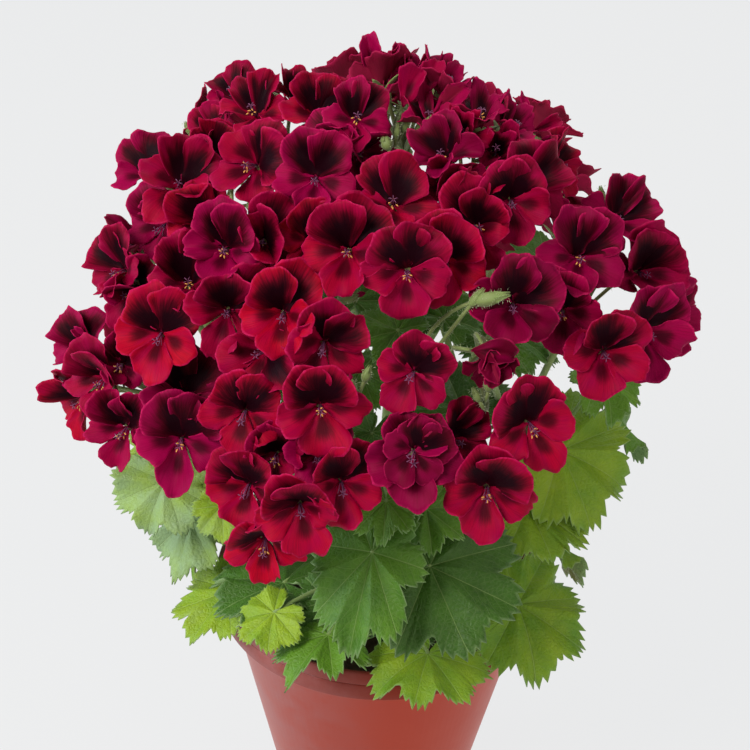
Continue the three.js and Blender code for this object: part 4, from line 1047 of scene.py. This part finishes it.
def fit_petal(number, index, walls):
    """The least raised and least shortened form of a petal that keeps to its bloom's room."""
    _, place, facing, upper, reach, _, _ = blooms[number]
    directions = face_frame(facing, upper, math.radians(petal_turns[index]))
    rest = 0.02 + 0.42 * draw(number * 5 + index)
    full = reach * petal_shares[index]
    best = None
    for shorten in range(12):
        share = 1.0 - 0.06 * shorten
        for lifted in range(-2, 9):
            cost = abs(lifted) * 0.08 + (1.0 - share) * 1.6
            if best and cost >= best[0]:
                continue
            pitch = rest + lifted * raise_step
            length = full * share
            points = [petal_point(place, facing, directions, pitch, length, out, width * length)
                      for out, width in petal_outline]
            if all((point - own).dot(normal) <= limit
                   for own, normal, limit in walls for point in points):
                best = (cost, pitch, share)
    return (best[1], best[2]) if best else (1.4, shortest_share)


petal_across = 12
petal_along = 12


def lay_petal(mesh, place_of_petal, facing, directions, pitch, length, form, seed, tone):
    """Lays one petal: rounded, narrow at its claw, dished, waved at the edge, and maybe folded."""
    breadth, claw, ruffle, roll, fold, skew = form
    wave = math.tau * draw(seed * 1.3)
    notch = 0.09 * max(0.0, draw(seed * 1.9) - 0.45)
    lean = 0.16 * (draw(seed * 2.1) - 0.5)
    twist = 0.1

    def place(a, b):
        across = -a * math.sqrt(1.0 - b * b / 2.0)
        along = b * math.sqrt(1.0 - a * a / 2.0)
        rim = math.sqrt(across * across + along * along)
        turn = math.atan2(across, along + 0.2)
        out = (along + 1.0) / 2.0
        grow = 0.035 * math.sin(turn * 3.0 + wave) + 0.022 * math.sin(turn * 8.0 + 2.0 * wave)
        grow += 0.05 * noise.noise(Vector((across * 4.5, along * 4.5, seed * 3.1)))
        grow -= notch * math.exp(-(turn / 0.22) ** 2)
        reach_share = 0.02 + out * (0.98 + 0.03 * rim ** 4) * (1.0 + grow * rim ** 4)
        opened = min(1.0, out / 0.66)
        waist = claw + (1.0 - claw) * opened * opened * (3.0 - 2.0 * opened)
        width = across * breadth * length * waist * (1.0 + grow)
        bend = fold * min(1.0, out * 2.0)
        point = petal_point(place_of_petal, facing, directions, pitch, length, reach_share,
                            width * math.cos(bend) + skew * length * out)
        lift = abs(width) * math.sin(bend) / length
        lift += ruffle * rim ** 4 * math.sin(turn * 4.0 + wave)
        lift += 0.4 * ruffle * rim ** 6 * math.sin(turn * 11.0 + 3.0 * wave)
        dent = 0.09 * noise.noise(Vector((across * 1.3, out * 2.0, seed * 1.7)))
        lift += dent * (0.3 + rim * rim)
        lift += 0.03 * noise.noise(Vector((across * 4.0, out * 5.0, seed * 2.3))) * rim
        lift += twist * across * out + lean * across * across - roll * max(0.0, out - 0.55) ** 2
        point += facing * (length * lift)
        return point, (across, out, rim), tone

    lay_grid(mesh, petal_across, petal_along, petal_slot, place)


# Petal: a velvety skin of tiny cone-shaped cells, so it takes next to no gloss and its folds go
# deep and dark. A blotch is feathered into the red along veins that fan out from the claw.
petal_material = new_material("velvet_petal_dark_red", {
    "Roughness": 0.55, "IOR": 1.35, "Specular IOR Level": 0.1, "Sheen Weight": 0.035,
    "Sheen Roughness": 0.35, "Sheen Tint": linear("#e04a78")})
petal_tree = petal_material.node_tree
petal_run_vector = add_node(petal_tree, "Attribute", {}, attribute_name="run").outputs["Vector"]
petal_run = add_node(petal_tree, "SeparateXYZ", {0: petal_run_vector})
petal_tone = add_node(petal_tree, "SeparateXYZ", {
    0: add_node(petal_tree, "Attribute", {}, attribute_name="tone").outputs["Vector"]})
past_claw = add_node(petal_tree, "Math", {0: petal_run.outputs["Y"], 1: 0.35}, operation="ADD")
fan = add_node(petal_tree, "Math", {0: petal_run.outputs["X"], 1: past_claw}, operation="DIVIDE")
streak_place = add_node(petal_tree, "CombineXYZ", {
    "X": fan, "Y": petal_run.outputs["Y"], "Z": petal_tone.outputs["X"]})
streak_scaled = add_node(petal_tree, "VectorMath", {
    0: streak_place, 1: (19.0, 2.5, 190.0)}, operation="MULTIPLY")
streak = add_node(petal_tree, "TexNoise", {
    "Vector": streak_scaled, "Scale": 1.0, "Detail": 3.0})
# A petal has some thirty veins, about 1 mm apart at its rim.
vein_scaled = add_node(petal_tree, "VectorMath", {
    0: streak_place, 1: (34.0, 2.2, 310.0)}, operation="MULTIPLY")
petal_vein = add_node(petal_tree, "TexNoise", {
    "Vector": vein_scaled, "Scale": 1.0, "Detail": 1.0})
drift_scaled = add_node(petal_tree, "VectorMath", {
    0: streak_place, 1: (1.7, 1.7, 70.0)}, operation="MULTIPLY")
drift = add_node(petal_tree, "TexNoise", {"Vector": drift_scaled, "Scale": 1.0, "Detail": 1.0})

# The two upper petals have a blotch as wide as most of the petal, the others a small spot.
upper_place = add_node(petal_tree, "VectorMath", {
    0: petal_run_vector, 1: (1.25, 1.9, 0.0), 2: (0.0, -0.66, 0.0)}, operation="MULTIPLY_ADD")
upper_distance = add_node(petal_tree, "VectorMath", {0: upper_place}, operation="LENGTH")
lower_place = add_node(petal_tree, "VectorMath", {
    0: petal_run_vector, 1: (2.5, 4.0, 0.0), 2: (0.0, -1.6, 0.0)}, operation="MULTIPLY_ADD")
lower_distance = add_node(petal_tree, "VectorMath", {0: lower_place}, operation="LENGTH")
distance = add_node(petal_tree, "Mix", {
    "Factor": petal_tone.outputs["Z"], "A": lower_distance, "B": upper_distance}, data_type="FLOAT")
streak_push = add_node(petal_tree, "MapRange", {
    "Value": streak, "From Min": 0.2, "From Max": 0.8, "To Min": -0.17, "To Max": 0.17})
drift_push = add_node(petal_tree, "MapRange", {
    "Value": drift, "From Min": 0.2, "From Max": 0.8, "To Min": -0.4, "To Max": 0.3})
both_push = add_node(petal_tree, "Math", {0: streak_push, 1: drift_push}, operation="ADD")
feathered = add_node(petal_tree, "Math", {0: distance, 1: both_push}, operation="ADD")
burgundy_share = add_node(petal_tree, "MapRange", {
    "Value": feathered, "From Min": 0.65, "From Max": 1.3, "To Min": 1.0, "To Max": 0.0},
    interpolation_type="SMOOTHSTEP")
black_share = add_node(petal_tree, "MapRange", {
    "Value": feathered, "From Min": 0.3, "From Max": 0.95, "To Min": 1.0, "To Max": 0.0},
    interpolation_type="SMOOTHSTEP")
spot_strength = add_node(petal_tree, "MapRange", {
    "Value": petal_tone.outputs["Z"], "To Min": 0.62, "To Max": 0.97})
black_spot = add_node(petal_tree, "Math", {0: black_share, 1: spot_strength}, operation="MULTIPLY")
burgundy_spot = add_node(petal_tree, "Math", {
    0: burgundy_share, 1: spot_strength}, operation="MULTIPLY")

# The wine end of this ramp is partly painted shade for blooms that lie in shadow.
red_ramp = add_node(petal_tree, "ValToRGB", {"Fac": petal_tone.outputs["X"]})
grade(red_ramp, (0, "#b00020"), (1, "#58001e"), (0.25, "#a20026"), (0.5, "#90002e"),
      (0.75, "#960042"))
vein_share = add_node(petal_tree, "MapRange", {
    "Value": petal_vein, "From Min": 0.45, "From Max": 0.7, "To Max": 0.4})
warmed = add_node(petal_tree, "MapRange", {
    "Value": drift, "From Min": 0.4, "From Max": 0.75, "To Max": 0.5})
rim_share = add_node(petal_tree, "MapRange", {
    "Value": petal_run.outputs["Z"], "From Min": 0.93, "From Max": 1.0},
    interpolation_type="SMOOTHSTEP")
rim_patch = add_node(petal_tree, "MapRange", {
    "Value": streak, "From Min": 0.35, "From Max": 0.65, "To Min": 0.15, "To Max": 0.7})
rim_strength = add_node(petal_tree, "Math", {0: rim_share, 1: rim_patch}, operation="MULTIPLY")
under_petal = add_node(petal_tree, "Math", {
    0: petal_tone.outputs["Y"], 1: 0.7}, operation="MULTIPLY")
petal_colour = red_ramp
for share, colour in (
    (vein_share, "#640020"), (warmed, "#8a0040"), (burgundy_spot, "#480012"),
    (black_spot, "#160008"), (rim_strength, "#c41c5c"), (under_petal, "#8e1c3a"),
):
    petal_colour = add_node(petal_tree, "Mix", {
        "Factor": share, "A": petal_colour, "B": linear(colour)}, data_type="RGBA")
petal_relief = add_node(petal_tree, "Math", {0: streak, 1: petal_vein}, operation="ADD")
petal_bump = add_node(petal_tree, "Bump", {
    "Height": petal_relief, "Strength": 0.4, "Distance": 0.0003})
wire(petal_tree.nodes["Principled BSDF"], {"Base Color": petal_colour, "Normal": petal_bump})

# Stamens: fine purple filaments, some with orange-yellow anthers that bunch over the lower
# petals, round a purple style whose five branches curl back.
filament_material = new_material("purple_filament", {
    "Base Color": linear("#743c62"), "Roughness": 0.5})
anther_material = new_material("orange_pollen_anther", {
    "Base Color": linear("#e0a050"), "Roughness": 0.7})


anther_size = (0.0003, 0.0003, 0.0008, 1.0)


def lay_stamens(mesh, number):
    """Lays a bloom's filaments, anthers and curled style, which lean to the lower petals."""
    _, place, facing, upper, *_ = blooms[number]
    across = facing.cross(upper).normalized()
    lean = 0.3 + 0.35 * draw(number * 47)
    with_pollen = 5 if draw(number * 67) > 0.45 else 0
    for k in range(5):
        angle = k / 5.0 * math.tau + draw(number * 53 + k)
        side = across * math.cos(angle) + upper * math.sin(angle)
        way = (facing + side * (0.1 + 0.16 * draw(number * 59 + k)) - upper * lean).normalized()
        start = place - facing * 0.6 + side * 0.4
        end = start + way * (5.0 + 2.4 * draw(number * 61 + k))
        lay_stalk(mesh, bow(start, facing, end, 3), [0.17, 0.17, 0.15, 0.13], 3, filament_slot, 0.0)
        if k < with_pollen:
            pollen = bmesh.ops.create_icosphere(
                mesh, subdivisions=1, radius=1.0,
                matrix=Matrix.Translation(end / 1000.0)
                @ (side - upper * 0.8 + facing * 0.3).to_track_quat("Z", "Y").to_matrix().to_4x4()
                @ Matrix.Diagonal(anther_size))
            finish_faces(pollen["verts"], anther_slot)
    tip = place + (facing - upper * lean * 0.6).normalized() * 7.5
    lay_stalk(mesh, bow(place - facing * 0.6, facing, tip, 3), [0.22] * 4, 3, filament_slot, 0.0)
    for k in range(5):
        angle = (k + 0.5) / 5.0 * math.tau + number
        side = across * math.cos(angle) + upper * math.sin(angle)
        curl = [tip, tip + facing * 0.9 + side * 0.6, tip + facing * 1.1 + side * 1.4,
                tip + facing * 0.6 + side * 1.8, tip + facing * 0.1 + side * 1.4]
        lay_stalk(mesh, curl, [0.19, 0.19, 0.17, 0.15, 0.11], 3, filament_slot, 0.0)


def lay_sepal(mesh, number, index):
    """Lays one narrow green sepal, which lies behind the gap between two petals."""
    _, place, facing, upper, *_ = blooms[number]
    outward, sideways = face_frame(facing, upper, 2 * index * half_sector)

    def place_of(a, b):
        part = (b + 1.0) / 2.0
        width = -a * 1.3 * math.sin(math.pi * min(1.0, 0.25 + 0.75 * part)) ** 0.8 - a * 0.05
        out = 1.2 + 8.5 * part
        rise = -2.6 + 3.4 * part - 1.2 * part * part
        return (place + outward * out + facing * rise + sideways * width,
                (0.0, part, 0.0), (0.05, 0.0, 0.0))

    lay_grid(mesh, 2, 4, stalk_slot, place_of)


# Loose petals: narrow ones that stand up folded at the top of the plant, spikes at its edges,
# and wilted dark ones. Rows: x, y of the foot, depth, turn, length, half width, fold in
# radians, roll of the tip, and tint.
loose_petals = {
    "peak": [
        (376, 86, 0, -14, 20, 0.36, 0.95, 0.1, 0.75),
        (390, 84, 0, 6, 16, 0.34, 0.9, 0.0, 0.72),
        (404, 84, 2, 3, 13, 0.32, 0.9, 0.2, 0.7),
        (424, 96, 0, 18, 15, 0.42, 0.7, 0.1, 0.6),
        (438, 92, 0, 34, 14, 0.42, 0.7, 0.3, 0.72),
        (402, 108, 2, 30, 17, 0.4, 0.7, 0.2, 0.55),
        (432, 116, 2, 48, 17, 0.36, 0.8, 0.2, 0.7),
    ],
    "upper_right": [
        (527, 124, 2, -12, 12, 0.26, 0.9, 0.0, 0.75),
        (532, 132, 4, 62, 13, 0.3, 0.8, 0.2, 0.6),
        (538, 142, 4, 88, 10, 0.26, 0.8, 0.0, 0.9),
        (545, 200, 4, 102, 9, 0.3, 0.7, 0.0, 0.8),
        (505, 120, 6, -25, 12, 0.34, 0.8, 0.2, 0.65),
    ],
    "far_left": [(137, 236, 3, -62, 14, 0.3, 0.7, 0.0, 1.0)],
    "upper_left": [
        (203, 134, 6, -40, 9, 0.3, 0.8, 0.0, 0.8),
        (224, 108, 6, -30, 8, 0.3, 0.8, 0.0, 0.7),
    ],
    "left_edge": [
        (93, 346, 8, -52, 11, 0.26, 0.8, 0.0, 0.8),
        (76, 362, 10, -85, 9, 0.26, 0.8, 0.0, 0.6),
    ],
    "right_middle": [
        (470, 350, -2, 96, 17, 0.4, 0.8, 0.6, 1.0),
        (498, 350, -2, 196, 15, 0.42, 0.7, 0.7, 1.0),
        (484, 348, -1, 150, 15, 0.4, 0.9, 0.4, 0.95),
    ],
    "middle": [
        (470, 196, -2, 60, 15, 0.42, 0.8, 0.3, 0.3),
        (455, 205, -3, 24, 15, 0.4, 0.9, 0.3, 0.35),
    ],
    "top_left": [(232, 205, 2, 170, 15, 0.4, 0.8, 0.3, 0.3)],
    "front_right": [(414, 452, -4, 70, 12, 0.5, 0.7, -0.8, 0.8)],
}
# Buds: five hairy green sepals closed over rolled petals, whose pink tip shows when the bud is
# about to open. Rows: x, y of the foot, depth, way right, up, towards, length, half width, tip.
buds = {
    "centre_left": [
        (338, 300, 4, 0.9, 0.25, 0.3, 9.0, 2.3, 1),
        (292, 384, 2, -0.1, -0.7, 0.6, 7.0, 1.9, 0),
    ],
    "lower_middle": [
        (352, 396, 4, -0.1, 0.9, 0.4, 7.5, 2.0, 1),
        (364, 382, 4, 0.3, 0.9, 0.3, 6.5, 1.8, 0),
        (346, 404, 5, -0.6, 0.7, 0.3, 6.0, 1.7, 0),
    ],
    "top": [
        (389, 150, 8, -0.35, 0.9, 0.2, 6.0, 2.4, 1),
        (396, 138, 10, 0.1, 1.0, 0.2, 6.0, 1.5, 0),
        (402, 132, 10, 0.4, 0.9, 0.2, 6.5, 1.5, 0),
        (398, 128, 11, 0.25, 1.0, 0.1, 7.0, 1.4, 0),
    ],
    "centre": [
        (474, 302, -3, 1.0, 0.25, 0.3, 13.0, 2.6, 0),
        (470, 306, -2, 0.6, 0.8, 0.3, 8.0, 1.8, 0),
    ],
    "right_middle": [
        (488, 392, 3, 0.1, 1.0, 0.2, 8.0, 2.1, 1),
        (480, 402, 4, -0.5, 0.9, 0.2, 6.0, 1.6, 0),
    ],
    "left_edge": [
        (98, 386, 2, -1.0, 0.0, 0.4, 11.0, 2.1, 1),
        (98, 380, 3, -0.9, 0.35, 0.3, 9.0, 1.7, 1),
    ],
    "right": [
        (603, 204, 8, -0.2, 1.0, 0.2, 7.0, 1.6, 0),
        (598, 208, 9, -0.6, 0.8, 0.2, 6.0, 1.5, 0),
    ],
    "far_left": [(190, 134, 14, -0.4, 0.9, 0.2, 5.5, 1.4, 0)],
    "back_middle": [(375, 140, 60, 0.0, 1.0, -0.6, 7.0, 1.9, 1)],
}
bud_profile = ((0.0, 0.35), (0.12, 0.75), (0.32, 1.0), (0.55, 0.92), (0.78, 0.6), (0.94, 0.3))


def lay_bud(mesh, foot, way, length, half_width, showing, seed):
    """Lays one bud, whose sepals end as free points round the tip, with its hairs."""
    points = [foot + way * (length * part) for part, _ in bud_profile]
    radii = [half_width * wide for _, wide in bud_profile]
    lay_stalk(mesh, points, radii, 15, stalk_slot, 0.2, 0.1)
    side = way.orthogonal().normalized()
    for k in range(5):
        out = Matrix.Rotation((k + draw(seed)) / 5.0 * math.tau, 3, way) @ side
        point = [foot + way * (length * part) + out * (half_width * aside)
                 for part, aside in ((0.62, 0.72), (0.85, 0.4), (1.06, 0.3))]
        radii = [half_width * wide for wide in (0.3, 0.22, 0.05)]
        lay_stalk(mesh, point, radii, 4, stalk_slot, 0.2)
    if showing:
        tip = [foot + way * (length * part) for part in (0.85, 1.0, 1.12, 1.2)]
        radii = [half_width * wide for wide in (0.4, 0.5, 0.35, 0.1)]
        lay_stalk(mesh, tip, radii, 8, petal_slot, 0.7)
    lay_hairs(mesh, points, half_width, 0.16, 1.1, hair_slot, seed)


def lay_bloom(mesh, number):
    """Lays a bloom's petals and sepals, each petal in the room that the neighbours leave it."""
    _, place, facing, upper, reach, tint, closing = blooms[number]
    on_top = 4 if draw(number * 37) > 0.5 else 0
    heart = place + facing * cup_depth
    walls = []
    for other, neighbour in enumerate(blooms):
        apart = neighbour[1] + neighbour[2] * cup_depth - heart
        if other != number and apart.length <= neighbourhood:
            walls.append((heart, apart.normalized(), apart.length / 2.0 + petal_overlap))
    for index in range(5):
        pitch, share = fit_petal(number, index, walls)
        seed = number * 7 + index
        is_upper = index in (0, 4)
        breadth = (0.56 if is_upper else 0.45) * (0.9 + 0.2 * draw(seed * 1.1))
        form = (
            breadth * (1.0 - 0.25 * closing),
            0.5 if is_upper else 0.28,
            0.025 + 0.05 * draw(seed * 1.6) + 0.04 * closing,
            0.1 + 0.6 * draw(seed * 2.7) ** 2,
            0.5 * draw(seed * 3.7) ** 3 + closing * (0.5 + 0.7 * draw(seed * 4.9)),
            {0: -0.05, 4: 0.05}.get(index, 0.08 * (draw(seed * 4.3) - 0.5)),
        )
        pitch += 0.5 * closing * (draw(seed * 6.1) - 0.2) + (0.14 if index == on_top else 0.0)
        full = reach * petal_shares[index]
        length = full * min(1.0, share * 1.12) * (1.0 - 0.12 * closing)
        directions = face_frame(facing, upper, math.radians(petal_turns[index]))
        own_tint = min(1.0, max(0.0, tint + 0.12 * (draw(seed * 5.9) - 0.5)))
        tone = (own_tint, 0.0, 1.0 if is_upper else 0.0)
        lay_petal(mesh, place, facing, directions, pitch, length, form, seed, tone)
        lay_sepal(mesh, number, index)


for head, (centre, out) in hubs.items():
    shape = open_form()
    own = [number for number, bloom in enumerate(blooms) if bloom[0] == head]
    for number in own:
        lay_bloom(shape, number)
    stalks = []
    for row, (x, y, depth, *loose) in enumerate(loose_petals.get(head, [])):
        turn, length, half_width, fold, roll, tint = loose
        foot = on_dome(x, y, depth)
        facing = from_view(0.35 * math.sin(row * 2.1), 0.15, 0.9)
        outward = in_face(facing, turn)
        form = (half_width, 0.3, 0.05, roll, fold, 0.0)
        lay_petal(shape, foot, facing, (outward, facing.cross(outward)), 0.1, length, form,
                  row * 3.0 + x, (tint, 0.0, 0.0))
        stalks.append((foot, -outward))
    thicken(shape, petal_thickness)
    for number in own:
        _, place, facing, *_ = blooms[number]
        neck = place - facing * 4.5
        path = [place - facing * 0.4, place - facing * 2.2, neck]
        path += bow(neck, -facing, centre, 6)[1:]
        radii = [throat_radius * 0.8, throat_radius * 0.75, 1.0] + [pedicel_radius] * 6
        lay_stalk(shape, path, radii, 8, stalk_slot, 0.4)
        lay_hairs(shape, path[2:], pedicel_radius, 1.4, 1.2, hair_slot, number * 5.0)
        lay_stamens(shape, number)
    for row, (x, y, depth, right, up, towards, *size) in enumerate(buds.get(head, [])):
        foot = on_dome(x, y, depth)
        way = from_view(right, up, towards)
        lay_bud(shape, foot, way, *size, row + x)
        stalks.append((foot + way * (size[0] * 0.06), -way))
    for foot, leaving in stalks:
        path = bow(foot, leaving, centre, 8)
        lay_stalk(shape, path, [0.75] * 9, 8, stalk_slot, 0.25)
        lay_hairs(shape, path[:6], 0.7, 0.5, 1.3, hair_slot, foot.x)
    lay_stalk(shape, [centre - out * 3.0, centre - out * 1.5, centre, centre + out * 1.5],
              [1.6, 2.7, 2.9, 1.6], 10, stalk_slot, 0.2)
    add_piece("umbel_" + head, shape,
              [petal_material, stalk_material, filament_material, anther_material, hair_material],
              "petals", "head_" + head)
